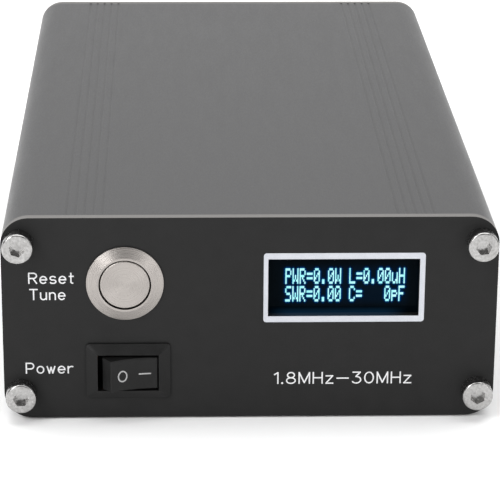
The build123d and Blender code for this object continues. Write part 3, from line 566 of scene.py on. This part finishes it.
# ---------------------------------------------------------------- supply lead, in metres
LEAD_RADIUS = 0.00145
FLOOR_LEVEL = 0.0016
LEAD_ROUTE = [
    (0.0, 0.0986, 0.027),
    (0.0, 0.1065, 0.027),
    (0.0004, 0.1165, 0.0238),
    (0.001, 0.127, 0.0158),
    (0.0008, 0.138, 0.008),
    (-0.0008, 0.1495, 0.0029),
    (-0.0026, 0.161, FLOOR_LEVEL),
    (-0.0048, 0.172, FLOOR_LEVEL),
    (-0.0066, 0.182, FLOOR_LEVEL),
]
CROSSING = (-0.014, 0.108, 0.0048)
TAIL_ROUTE = [
    (-0.0105, 0.1128, 0.0047),
    (-0.003, 0.1195, 0.0034),
    (0.006, 0.124, 0.0017),
    (0.016, 0.126, FLOOR_LEVEL),
    (0.0255, 0.129, FLOOR_LEVEL),
    (0.0325, 0.1355, FLOOR_LEVEL),
    (0.037, 0.144, FLOOR_LEVEL),
    (0.038, 0.153, FLOOR_LEVEL),
]
HANK_X = -0.026
HANK_Y = 0.141
# half a turn of the hank each: how far it reaches along Y, and its half width
HANK_TURNS = [
    (0.0574, 0.0186),
    (-0.0568, 0.0174),
    (0.0528, 0.0144),
    (-0.0522, 0.0136),
    (0.0480, 0.0110),
    (-0.0470, 0.0103),
]
# the strands under the tie, in the order that the lead passes: x from the middle, and z
HANK_WAIST = [(-0.0031, 0.00215), (0.0031, 0.00215), (-0.0016, 0.0049), (0.0, 0.00215), (0.0016, 0.0049)]
UPPER_STRAND = 0.003
# how far from the tie the upper strands start to come down, and over what length the strands come down
UPPER_STARTS = 0.018
UPPER_DROP = 0.024
LOWER_DROP = 0.010
POINTS_PER_TURN = 12
TURN_START = 4
TURN_END = 9
OPENING = 0.45
CROSSING_RISE = 0.0032
CROSSING_TURN = math.pi / 5


def lobe(angle):
    """How wide a turn stands open at an angle from its waist, before scaling."""
    return math.sin(2 * angle) * (OPENING + (1 - OPENING) * math.sin(angle))


def strand_level(waist_level, distance):
    """A strand's height that far from the tie; the upper strands come down as the loops open."""
    if waist_level > UPPER_STRAND:
        share = ease((abs(distance) - UPPER_STARTS) / UPPER_DROP)
    else:
        share = ease(abs(distance) / LOWER_DROP)
    return waist_level + (FLOOR_LEVEL - waist_level) * share


def hank_points():
    """The hank's turns: three loops to each side of the tie, each smaller than the last."""
    crest = max(lobe(math.radians(angle)) for angle in range(91))
    last = len(HANK_TURNS) - 1
    strands = [(0.0, FLOOR_LEVEL), *HANK_WAIST, (0.0, FLOOR_LEVEL)]
    points = []
    for index, (reach, half_width) in enumerate(HANK_TURNS):
        start = TURN_START if index == 0 else 0
        end = TURN_END if index == last else POINTS_PER_TURN
        for step in range(start, end):
            angle = math.pi * step / POINTS_PER_TURN
            outward = angle < math.pi / 2
            waist_x, waist_level = strands[index if outward else index + 1]
            bulge = math.copysign(half_width, reach) * lobe(angle) / crest
            along = reach * math.sin(angle)
            level = strand_level(waist_level, along)
            if index == last and not outward:
                level = FLOOR_LEVEL + CROSSING_RISE * ease((angle - math.pi / 2) / CROSSING_TURN)
            x = HANK_X + waist_x * (1 - math.sin(angle)) + bulge
            points.append((x, HANK_Y + along, level))
    return points


def supply_lead(material):
    """The whole lead as one smooth line: down from the plug, through the hank and out to its bare end."""
    route = [*LEAD_ROUTE, *hank_points(), CROSSING, *TAIL_ROUTE]
    wire = wire_curve("supply_lead", [route], LEAD_RADIUS, 6, 8, smooth=True)
    lead = adopt(wire, "case", material)
    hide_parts("lead_cord", "lead_hank")
    return lead


# ---------------------------------------------------------------- the lead's tie and bare ends
# half the tie's section, flat with a round wire core: across its width, and how proud of its middle
TIE_CORE = 0.3
TIE_PROFILE = [(-1, 0.16), (-0.34, 0.16), (0, TIE_CORE), (0.34, 0.16), (1, 0.16)]
TIE_STEPS = 64
# the tie's two twisted ends: where they start from the tie's top middle, how far they reach, and their wind
TWIST_START = (1.2, 0.6, 0.75)
TWIST_REACH = (4.6, 12.5, -0.55)
TWIST_TURNS = 3.5
TWIST_STEPS = 48
TWIST_GAP = 0.62
TIP_STARTS = 0.85
TIP_SPREAD = 0.9
TWIST_RADIUS = 0.5
INSULATION_RADIUS = 0.6
CONDUCTOR_RADIUS = 0.38
PLUG_TIP = 1.2


def tie_band(middle, half_x, half_width, half_z):
    """Points and faces of the band that goes once round the hank's middle."""
    section = [(share, -proud) for share, proud in TIE_PROFILE] + TIE_PROFILE[::-1]
    points = []
    for step in range(TIE_STEPS):
        angle = 2 * math.pi * step / TIE_STEPS
        across = signed_power(math.cos(angle), 0.45)
        upward = signed_power(math.sin(angle), 0.6)
        outward = Vector((across, 0, upward)).normalized()
        for share, proud in section:
            foot = middle + Vector((half_x * across, share * half_width, half_z * upward))
            points.append(foot + outward * proud)
    return points, wrapped_faces(TIE_STEPS, len(section))


def twisted_tail(start, phase):
    """One of the tie's two ends, wound round the other and spread at its tip."""
    path = []
    for step in range(TWIST_STEPS + 1):
        share = step / TWIST_STEPS
        turn = phase + 2 * math.pi * TWIST_TURNS * share
        opened = TIP_SPREAD * ease((share - TIP_STARTS) / (1 - TIP_STARTS))
        spread = (TWIST_GAP + opened) * math.cos(turn)
        wind = Vector((0.95 * spread, -0.3 * spread, 0.6 * math.sin(turn)))
        path.append(start + Vector(TWIST_REACH) * share + wind)
    return path


def twist_tie(material):
    """Flat tie with a wire core round the hank's middle, its ends twisted together on top."""
    low, high = box_mm("lead_tie")
    middle = (low + high) / 2
    half = (high - low) / 2
    points, faces = tie_band(middle, half.x - TIE_CORE, half.y, half.z - TIE_CORE)
    band = mesh_piece("lead_twist_tie", points, faces, "case", material)
    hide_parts("lead_tie")
    start = Vector((middle.x, middle.y, high.z)) + Vector(TWIST_START)
    tails = [twisted_tail(start, phase) for phase in (0, math.pi)]
    twisted = wire_piece("lead_tie_ends", tails, TWIST_RADIUS, "case", "cable_black", material)
    return [band, twisted]


def wire_end(name, side, shorter, material, bare):
    """One stripped conductor: coloured insulation with a tinned end."""
    start = Vector(TAIL_ROUTE[-1]) / MM
    reach = box_mm("lead_wire_ends")[1].y - start.y - shorter - INSULATION_RADIUS
    root = start + Vector((side * 0.68, -0.6, 0))
    bend = start + Vector((side * 0.95, 4.0, -0.3))
    sleeve = start + Vector((side * 1.9, reach * 0.66, -0.75))
    tip = start + Vector((side * 2.5, reach, -0.95))
    way = [root, bend, sleeve]
    cover = wire_piece(name, [way], INSULATION_RADIUS, "case", "wire_red", material, smooth=True)
    strand = [sleeve + (root - sleeve) * 0.1, tip]
    metal = wire_piece(name + "_tinned", [strand], CONDUCTOR_RADIUS, "case", "nickel", bare)
    return [cover, metal]


def wire_ends(red, black, bare):
    """The lead's two conductors, red and black, splayed at the free end."""
    pieces = wire_end("lead_wire_red", -1, 1.5, red, bare)
    pieces += wire_end("lead_wire_black", 1, 0.0, black, bare)
    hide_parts("lead_wire_ends")
    return pieces


def lead_plug_metal():
    """Nickel barrel whose insulated tip is yellow."""
    material = speckled("lead_plug_metal", (0.60, 0.58, 0.55), (0.76, 0.75, 0.72), (0.16, 0.3), 0.8, 0.004)
    tip = (box_mm("lead_plug")[0].y + PLUG_TIP) * MM
    yellow = maths(material, "LESS_THAN", axis_value(material, "Y"), tip)
    barrel = source_of(material, "Base Color")
    drive(material, "Base Color", blend(material, yellow, barrel, (0.75, 0.55, 0.04)))
    drive(material, "Metallic", maths(material, "SUBTRACT", 1.0, yellow))
    return material


# ---------------------------------------------------------------- printed legends
STROKE = 0.25
STROKE_END = 0.08
INK_FLATNESS = 0.18
INK_SINK = 0.01
INK_THICKNESS = 0.035
SHARP_CORNER = math.radians(40)
CAP = 1.92
LOWER = 1.3
LETTER_GAP = 0.62
CORNER_STEPS = 8


def arc(x, z, radius_x, radius_z, start, end, steps=14):
    """Points along part of an ellipse, with angles in degrees anticlockwise from +X."""
    angles = [math.radians(start + (end - start) * step / steps) for step in range(steps + 1)]
    return [(x + radius_x * math.cos(angle), z + radius_z * math.sin(angle)) for angle in angles]


# each glyph: its width, and its strokes about a baseline at 0, in millimetres
GLYPHS = {
    "R": (
        1.4,
        [
            [(0, 0), (0, CAP), *arc(0.8, CAP - 0.49, 0.6, 0.49, 90, -90), (0, CAP - 0.98)],
            [(0.72, 0.94), (1.4, 0)],
        ],
    ),
    "P": (1.35, [[(0, 0), (0, CAP), *arc(0.8, CAP - 0.55, 0.55, 0.55, 90, -90), (0, CAP - 1.1)]]),
    "T": (1.43, [[(0, CAP), (1.43, CAP)], [(0.72, CAP), (0.72, 0)]]),
    "e": (1.2, [[(0, 0.66), (1.2, 0.66), *arc(0.6, 0.65, 0.6, 0.65, 5, 318)]]),
    "s": (1.04, [arc(0.52, 0.96, 0.5, 0.34, 30, 262) + arc(0.52, 0.32, 0.54, 0.33, 78, -152)]),
    "t": (
        0.78,
        [
            [(0.32, CAP), (0.32, 0.3), *arc(0.6, 0.28, 0.28, 0.26, 180, 285)],
            [(0, LOWER), (0.78, LOWER)],
        ],
    ),
    "u": (
        1.08,
        [
            [(0, LOWER), *arc(0.5, 0.45, 0.5, 0.45, 180, 300), (1.08, 0.3)],
            [(1.08, LOWER), (1.08, 0)],
        ],
    ),
    "n": (1.06, [[(0, 0), (0, LOWER)], [(0, 1.0), *arc(0.54, 0.82, 0.52, 0.48, 145, 0), (1.06, 0)]]),
    "o": (1.22, [arc(0.61, 0.65, 0.61, 0.65, 0, 360)]),
    "w": (1.42, [[(0, LOWER), (0.4, 0), (0.71, 1.15), (1.02, 0), (1.42, LOWER)]]),
    "r": (0.85, [[(0, 0), (0, LOWER)], [(0, 0.85), *arc(0.62, 0.72, 0.58, 0.55, 160, 65)]]),
    "1": (0.55, [[(0, CAP - 0.36), (0.55, CAP), (0.55, 0)]]),
    ".": (0.16, [arc(0.08, 0.06, 0.07, 0.07, 0, 360)]),
    "8": (1.4, [arc(0.7, 1.46, 0.56, 0.46, 270, -90), arc(0.7, 0.5, 0.7, 0.5, 90, 450)]),
    "M": (1.66, [[(0, 0), (0, CAP), (0.83, 0.12), (1.66, CAP), (1.66, 0)]]),
    "H": (1.42, [[(0, 0), (0, CAP)], [(1.42, 0), (1.42, CAP)], [(0, 0.98), (1.42, 0.98)]]),
    "z": (1.12, [[(0, LOWER), (1.08, LOWER), (0, 0), (1.12, 0)]]),
    "-": (1.86, [[(0, 0.88), (1.86, 0.88)]]),
    "3": (1.4, [[(0.1, CAP), (1.3, CAP), (0.6, 1.17), *arc(0.66, 0.58, 0.72, 0.58, 88, -148)]]),
    "0": (1.4, [arc(0.7, CAP / 2, 0.7, CAP / 2, 90, 450)]),
}
# text, and the left end, the baseline and the right end of its ink about the plate's middle, and its height
LEGENDS = {
    "legend_reset": ("Reset", -39.25, 6.68, -31.14, 1.0),
    "legend_tune": ("Tune", -39.15, 3.61, -32.7, 1.0),
    "legend_power": ("Power", -40.09, -10.50, -31.54, 1.0),
    "legend_range": ("1.8MHz-30MHz", 4.34, -12.78, 29.18, 1.1),
}


def straightened(stroke):
    """A stroke cut into parts at its sharp corners, each a little longer at its two open ends."""
    points = [Vector(point) for point in stroke]
    parts = [[points[0]]]
    for before, corner, after in zip(points, points[1:], points[2:]):
        parts[-1].append(corner)
        if (corner - before).angle(after - corner) > SHARP_CORNER:
            parts.append([corner])
    parts[-1].append(points[-1])
    closed = (points[0] - points[-1]).length < 1e-6
    for part in [] if closed else parts:
        part[0] = part[0] + (part[0] - part[1]).normalized() * STROKE_END
        part[-1] = part[-1] + (part[-1] - part[-2]).normalized() * STROKE_END
    return parts


def printed_strokes(text, left, right):
    """The strokes of a line of text, spread so that its ink runs from left to right."""
    widths = [GLYPHS[letter][0] for letter in text]
    natural = sum(widths) + LETTER_GAP * (len(text) - 1)
    scale = (right - left - STROKE) / natural
    cursor = left + STROKE / 2
    strokes = []
    for letter, width in zip(text, widths):
        for stroke in GLYPHS[letter][1]:
            strokes += straightened([(cursor + x * scale, z) for x, z in stroke])
        cursor += (width + LETTER_GAP) * scale
    return strokes


def print_legend(name, text, left, base, right, tall, material):
    """One line of print on the front plate, a flattened bead of ink along each stroke."""
    paths = []
    for stroke in printed_strokes(text, left, right):
        paths.append([(x, 0, z * tall) for x, z in stroke])
    legend = wire_piece(name, paths, STROKE / 2, "case", "panel_black", material)
    legend.scale.y = INK_FLATNESS
    legend.location = Vector((0, FRONT, MIDDLE_Z + base + STROKE / 2)) * MM


def ring_strip(outline_in, outline_out, y0, y1):
    """Points and faces of a flat frame between two outlines of as many points, y0 to y1."""
    count = len(outline_in)
    points = []
    for outline, y in ((outline_in, y0), (outline_out, y0), (outline_out, y1), (outline_in, y1)):
        points += [(x, y, z) for x, z in outline]
    return points, wrapped_faces(4, count)


def rounded_outline(x, z, width, height, radius):
    """A rounded rectangle's outline, anticlockwise."""
    points = []
    for index, (side, level) in enumerate(((1, 1), (-1, 1), (-1, -1), (1, -1))):
        centre = (x + side * (width / 2 - radius), z + level * (height / 2 - radius))
        points += arc(*centre, radius, radius, 90 * index, 90 * index + 90, CORNER_STEPS)
    return points


def window_frame(material):
    """The light line printed round the display window."""
    inner = rounded_outline(WINDOW_X, WINDOW_Z, *WINDOW, WINDOW_CORNER)
    outer = rounded_outline(WINDOW_X + FRAME_SHIFT, WINDOW_Z, *FRAME_LINE, FRAME_CORNER)
    points, faces = ring_strip(inner, outer, FRONT + INK_SINK, FRONT - INK_THICKNESS)
    mesh_piece("window_frame", points, faces, "case", material)


# ---------------------------------------------------------------- display readout
# five-by-seven dot glyphs, one number a row, its bits left to right
DOT_GLYPHS = {
    "P": (30, 17, 17, 30, 16, 16, 16),
    "W": (17, 17, 17, 21, 21, 27, 17),
    "R": (30, 17, 17, 30, 20, 18, 17),
    "S": (15, 16, 16, 14, 1, 1, 30),
    "L": (16, 16, 16, 16, 16, 16, 31),
    "C": (14, 17, 16, 16, 16, 17, 14),
    "H": (17, 17, 17, 31, 17, 17, 17),
    "F": (31, 16, 16, 30, 16, 16, 16),
    "u": (0, 0, 17, 17, 17, 19, 13),
    "p": (0, 0, 30, 17, 30, 16, 16),
    "0": (14, 17, 19, 21, 25, 17, 14),
    "=": (0, 0, 31, 0, 31, 0, 0),
    ".": (0, 0, 0, 0, 0, 12, 12),
    " ": (0, 0, 0, 0, 0, 0, 0),
}
# name, steps that the cells are grown, how far off the glass it lies, and its dimmest and brightest light
READOUT_LAYERS = [
    ("display_far_glow", 2, 0.01, (0.0, 0.004, 0.022), (0.0, 0.007, 0.036)),
    ("display_near_glow", 1, 0.02, (0.0, 0.040, 0.14), (0.0, 0.060, 0.19)),
    ("display_readout", 0, 0.03, (0.30, 0.96, 1.0), (0.66, 1.15, 1.15)),
]


def lit_cells():
    """The column and row of every lit cell, from the readout's top left corner; a dot is two cells tall."""
    cells = set()
    for line, text in enumerate(LINES):
        for place, letter in enumerate(text):
            for row, bits in enumerate(DOT_GLYPHS[letter]):
                for column in range(5):
                    if bits >> (4 - column) & 1:
                        across, down = LETTER_PITCH * place + column, LINE_PITCH * line + 2 * row
                        cells |= {(across, down), (across, down + 1)}
    return cells


def grown(cells, steps):
    """The cells and all those within so many steps of one."""
    for _ in range(steps):
        sideways = {(column + step, row) for column, row in cells for step in (-1, 1)}
        upright = {(column, row + step) for column, row in cells for step in (-1, 1)}
        cells = cells | sideways | upright
    return cells


def readout(name, steps, lift, material):
    """The lit cells on the face of the display glass, grown by some steps, as one flat sheet."""
    points, faces = [], []
    y = GLASS_FACE - lift
    for column, row in sorted(grown(lit_cells(), steps)):
        x, z = READOUT_LEFT + column * CELL, READOUT_TOP - row * CELL
        faces.append(tuple(range(len(points), len(points) + 4)))
        points += [(x, y, z), (x + CELL, y, z), (x + CELL, y, z - CELL), (x, y, z - CELL)]
    mesh_piece(name, points, faces, "case", material)


def glowing(name, dim, bright):
    """Light of the display's dots, slightly uneven."""
    material = speckled(name, *GLASS, (0.3, 0.4), 0.3, 0.001, Specular_IOR_Level=0.0)
    flicker = remap(material, noise(material, 1.2), 0.3, 0.7, 0, 1)
    light_up(material, blend(material, flicker, dim, bright))
    return material


def print_white():
    """Pale screen-printed ink."""
    return speckled("print_white", (0.60, 0.60, 0.61), (0.72, 0.72, 0.73), (0.45, 0.6), 0.2, 0.01)


def frame_white():
    """Slightly bluish ink of the line round the window."""
    return speckled("frame_white", (0.46, 0.475, 0.515), (0.53, 0.545, 0.585), (0.45, 0.6), 0.2, 0.01)


def mark_grey():
    """Greyer paint of the marks on the rocker."""
    return speckled("mark_grey", (0.28, 0.28, 0.28), (0.38, 0.38, 0.38), (0.4, 0.55), 0.2, 0.01)


# ---------------------------------------------------------------- rocker marks
ROCKER_PIVOT = Vector((SWITCH.x, FRONT + 2.2, SWITCH.z))
ROCKER_TILT = math.radians(13)
ROCKER_FACE = -4.4
ROCKER_HOLLOW = 18.62
MARK_RADIUS = 0.15
MARK_SINK = 0.05
# the off ring's middle and its two radii, and the on bar's points, as tenths of a millimetre across
OFF_RING = (-2.05, -0.15, 0.78, 0.98)
ON_BAR = range(9, 32, 2)


def on_rocker(across, height):
    """The point on the rocker's hollow face, across from its middle and up from its centre line."""
    hollow = ROCKER_HOLLOW - math.sqrt(ROCKER_HOLLOW**2 - across**2)
    depth = ROCKER_FACE - hollow + MARK_SINK
    return ROCKER_PIVOT + Matrix.Rotation(ROCKER_TILT, 3, "Z") @ Vector((across, depth, height))


def rocker_marks(material):
    """The off ring and the on bar, beads of grey paint sunk a little into the rocker's face."""
    home = ("power_rocker", "switch_plastic", material)
    ring = [on_rocker(x, z) for x, z in arc(*OFF_RING, 0, 345, 32)]
    wire_piece("rocker_off_ring", [ring], MARK_RADIUS, *home, closed=True)
    bar = [on_rocker(x / 10, 0.0) for x in ON_BAR]
    wire_piece("rocker_on_bar", [bar], MARK_RADIUS, *home)


# ---------------------------------------------------------------- rear fittings
SOCKET_BARREL = 7.94
SOCKET_BORE = 6.2
SOCKET_PITCH = 25.4 / 24
SOCKET_THREAD_DEPTH = 0.55
SOCKET_SEGMENTS = 144
FLANGE_THICKNESS = 2.4
FLANGE_CORNER = 1.2
FLANGE_OVERLAP = 0.6
FLANGE_STEPS = 64
# the stud's crest, thread depth and pitch, and a bore that is only a point
STUD_THREAD = (2.5, 0.42, 0.8, 0.01)
STUD_SEGMENTS = 48
ROWS_PER_PITCH = 6
# over how much of a tube's end the thread runs out, its chamfer's depth and length, and its notches' fade
THREAD_RUN_OUT = 0.8
CHAMFER = (0.5, 0.6)
NOTCH = (2.4, 0.8)
NOTCH_FADE = 1.2


def threaded_tube(x, z, y0, y1, crest, depth, pitch, bore, segments, notch=None):
    """A helically threaded tube along Y with its far end chamfered and, where asked, notched."""
    rows = int((y1 - y0) / pitch * ROWS_PER_PITCH)
    points = []
    for row in range(rows + 1):
        for step in range(segments):
            angle = 2 * math.pi * step / segments
            y = y0 + (y1 - y0) * row / rows
            phase = (y / pitch - step / segments) % 1
            radius = crest - depth * (1 - abs(2 * phase - 1)) * ease((y1 - y) / THREAD_RUN_OUT)
            radius -= CHAMFER[0] * ease((y - y1 + CHAMFER[1]) / CHAMFER[1])
            y -= notch_depth(angle, crest, notch) * ease((y - y1 + NOTCH_FADE) / NOTCH_FADE)
            points.append((x + radius * math.cos(angle), y, z + radius * math.sin(angle)))
    for end in (y1, y0):
        for step in range(segments):
            angle = 2 * math.pi * step / segments
            y = end - (notch_depth(angle, crest, notch) if end == y1 else 0)
            points.append((x + bore * math.cos(angle), y, z + bore * math.sin(angle)))
    return points, wrapped_faces(rows + 3, segments)


def notch_depth(angle, radius, notch):
    """How deep the tube's end is cut at that angle: four notches, at the diagonals."""
    if notch is None:
        return 0.0
    away = math.degrees(angle) % 90 - 45
    return notch[1] if abs(math.radians(away)) * radius < notch[0] / 2 else 0.0


def flange_plate(x, z, half, corner, y0, y1, bore):
    """Points and faces of a square flange with cut corners round a bore."""
    inner, rim = [], []
    for step in range(FLANGE_STEPS):
        angle = 2 * math.pi * step / FLANGE_STEPS
        across, up = math.cos(angle), math.sin(angle)
        reach = outline_reach(across, up, half, corner)
        inner.append((x + bore * across, z + bore * up))
        rim.append((x + reach * across, z + reach * up))
    return ring_strip(inner, rim, y0, y1)


def outline_reach(across, up, half, corner):
    """Distance from the middle to the edge of a square with cut corners, in that direction."""
    flat = half / max(abs(across), abs(up))
    cut = (2 * half - corner) / (abs(across) + abs(up))
    return min(flat, cut)


def socket_shell(name, centre, material):
    """Coaxial socket shell: square flange and a barrel with its real thread."""
    low, high = box_mm(name + "_socket_shell")
    flange_end = low.y + FLANGE_THICKNESS
    half = (high.x - low.x) / 2
    bore = SOCKET_BARREL - FLANGE_OVERLAP
    points, faces = flange_plate(centre.x, centre.z, half, FLANGE_CORNER, low.y, flange_end, bore)
    flange = mesh_piece(name + "_socket_flange", points, faces, "case", material)
    bevel = flange.modifiers.new("edge", "BEVEL")
    bevel.width = 0.2 * MM
    bevel.segments = 2
    thread = (SOCKET_BARREL, SOCKET_THREAD_DEPTH, SOCKET_PITCH, SOCKET_BORE)
    points, faces = threaded_tube(centre.x, centre.z, low.y, high.y, *thread, SOCKET_SEGMENTS, NOTCH)
    barrel = mesh_piece(name + "_socket_barrel", points, faces, "case", material, 60)
    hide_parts(name + "_socket_shell")


def threaded_stud(material):
    """Ground post with its M5 thread."""
    low, high = box_mm("ground_stud")
    points, faces = threaded_tube(STUD.x, STUD.z, low.y, high.y, *STUD_THREAD, STUD_SEGMENTS)
    stud = mesh_piece("ground_stud_thread", points, faces, "case", material, 60)
    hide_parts("ground_stud")


def return_spring(material):
    """The tune button's spring, copied whole from the CAD coil as a piece on the case."""
    packed = frame["nodes"]["tune_button_spring"]
    spring = bpy.data.objects.new("tune_button_coil", packed.data.copy())
    spring.data.materials.clear()
    spring.matrix_world = packed.matrix_world
    adopt(spring, "case", material)
    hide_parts("tune_button_spring")
    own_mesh(spring)


# ---------------------------------------------------------------- windings
WIRE_GAP = 0.1
CORE_BORES = (4.7, 4.7, 6.3, 6.3)
CORE_TURNS = (9, 13, 17, 23)
CORE_WIRE = 0.7
WOUND_ARC = 290
STEPS_PER_TURN = 16


def ring_winding(centre, outer, inner, width, turns):
    """The path of one winding: even round turns about a ring core's section, open at the bottom."""
    steps = STEPS_PER_TURN * turns
    half_y = width / 2 + CORE_WIRE / 2 + WIRE_GAP
    half_r = (outer - inner) / 2 + CORE_WIRE / 2 + WIRE_GAP
    middle = (outer + inner) / 2
    path = []
    for step in range(steps + 1):
        share = step / steps
        around = math.radians(90 - WOUND_ARC / 2 + WOUND_ARC * share)
        section = 2 * math.pi * turns * share
        radius = middle + signed_power(math.cos(section), 0.5) * half_r
        side = signed_power(math.sin(section), 0.5) * half_y
        x = centre.x + radius * math.cos(around)
        path.append((x, centre.y + side, centre.z + radius * math.sin(around)))
    return path


def solid_boxes(node_name):
    """The low and high corners of each solid of one CAD node, from the front of the case back."""
    mesh = frame["nodes"][node_name].data
    work = bmesh.new()
    work.from_mesh(mesh)
    bmesh.ops.remove_doubles(work, verts=work.verts, dist=1e-6)
    remaining = set(work.verts)
    boxes = []
    while remaining:
        solid, edge = set(), [remaining.pop()]
        while edge:
            vertex = edge.pop()
            solid.add(vertex)
            for link in vertex.link_edges:
                other = link.other_vert(vertex)
                if other in remaining:
                    remaining.discard(other)
                    edge.append(other)
        places = [vertex.co / MM for vertex in solid]
        low = Vector(min(values) for values in zip(*places))
        high = Vector(max(values) for values in zip(*places))
        boxes.append((low, high))
    work.free()
    boxes.sort(key=lambda corners: (corners[0].y, corners[0].x))
    return boxes


def wind_cores(material):
    """Round wire on every toroid, in place of the CAD's square turns."""
    paths = []
    for (low, high), bore, turns in zip(solid_boxes("toroid_cores"), CORE_BORES, CORE_TURNS):
        outer = (high.z - low.z) / 2
        paths.append(ring_winding((low + high) / 2, outer, bore, high.y - low.y, turns))
    coil = wire_piece("toroid_windings_round", paths, CORE_WIRE / 2, "case", "copper", material, smooth=True)
    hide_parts("toroid_windings")


# ---------------------------------------------------------------- studio
WORLD_FRONT = 0.45
WORLD_REAR = 1.0
WORLD_FADE = (-0.9, 0.6)
FLOOR_SIZE = 12
FLOOR_DROP = 0.0003
# each softbox: its place, the point that it is aimed at, its two sides in metres, and its power in watts
SOFTBOXES = {
    "overhead": ((0.05, 0.25, 1.3), (0, 0, 0), (1.4, 1.2), 14.5),
    "key": ((-0.9, -0.9, 1.0), (0, 0, 0.02), (0.5, 0.5), 10.5),
    "fill": ((0.85, -1.15, 0.45), (0, 0, 0.02), (0.6, 0.6), 2.5),
    "glint": ((-0.66, -1.42, 0.29), (0, 0, 0.02), (0.45, 0.45), 3.9),
}


def softbox(name, place, target, size, power):
    """A flat area light aimed at a target, unseen by the camera itself."""
    data = bpy.data.lights.new(name, "AREA")
    data.shape = "RECTANGLE"
    data.size, data.size_y = size
    data.energy = power
    light = bpy.data.objects.new(name, data)
    light.location = place
    light.rotation_euler = (Vector(target) - Vector(place)).to_track_quat("-Z", "Y").to_euler()
    light.visible_camera = False
    scene.collection.objects.link(light)


def pale_floor():
    """A white floor just under the case."""
    bpy.ops.mesh.primitive_plane_add(size=FLOOR_SIZE, location=(0, 0, -FLOOR_DROP))
    floor = bpy.context.object
    floor.name = "floor"
    pale = finish_of("floor", (0.92, 0.92, 0.92), 0.9, Specular_IOR_Level=0.0)
    floor.data.materials.append(pale)


def surroundings():
    """White surroundings that are dimmer in front."""
    world = bpy.data.worlds.new("surroundings")
    world.use_nodes = True
    scene.world = world
    direction = node(world, "ShaderNodeTexCoord").outputs["Generated"]
    rearward = node(world, "ShaderNodeSeparateXYZ", direction).outputs["Y"]
    background = world.node_tree.nodes["Background"].inputs
    background["Color"].default_value = (1, 1, 1, 1)
    strength = remap(world, rearward, *WORLD_FADE, WORLD_FRONT, WORLD_REAR, True)
    feed_input(world, background["Strength"], strength)


def studio():
    """The floor, the surroundings and the softboxes, shown without any film curve."""
    pale_floor()
    surroundings()
    for name, setting in SOFTBOXES.items():
        softbox(name, *setting)
    scene.view_settings.view_transform = "Standard"


# ---------------------------------------------------------------- putting it together
def paint_cad_nodes(finishes):
    """Gives every CAD node the finish of its slot in the record."""
    for row in frame["record"]["subparts"]:
        piece = frame["nodes"][row["node"]]
        material = finishes[row["material_slot"]]
        if not piece.material_slots:
            piece.data.materials.append(material)
        for slot in piece.material_slots:
            slot.material = material


def all_finishes():
    """Every material slot of the record with its finish."""
    makers = [
        black_anodised,
        panel_black,
        steel,
        brushed_steel,
        rubber,
        nickel,
        black_plastic,
        switch_plastic,
        brass,
        copper,
        display_glass,
        board_blue,
        board_green,
        relay_blue,
        iron_red,
        ferrite,
        can_aluminium,
        ceramic,
        white_plastic,
        wire_red,
        ptfe,
        cable_black,
    ]
    return {maker.__name__: maker() for maker in makers}


finishes = all_finishes()
paint_cad_nodes(finishes)

lead = supply_lead(finishes["cable_black"])
ties = twist_tie(finishes["cable_black"])
ends = wire_ends(finishes["wire_red"], finishes["cable_black"], finishes["nickel"])
plug = frame["nodes"]["lead_plug"]
plug.material_slots[0].material = lead_plug_metal()

ink = print_white()
for name, legend in LEGENDS.items():
    print_legend(name, *legend, ink)
window_frame(frame_white())
for name, steps, lift, dim, bright in READOUT_LAYERS:
    readout(name, steps, lift, glowing(name, dim, bright))
rocker_marks(mark_grey())

for name, centre in SOCKETS.items():
    socket_shell(name, centre, finishes["nickel"])
threaded_stud(finishes["brass"])
return_spring(finishes["steel"])
wind_cores(finishes["copper"])

studio()
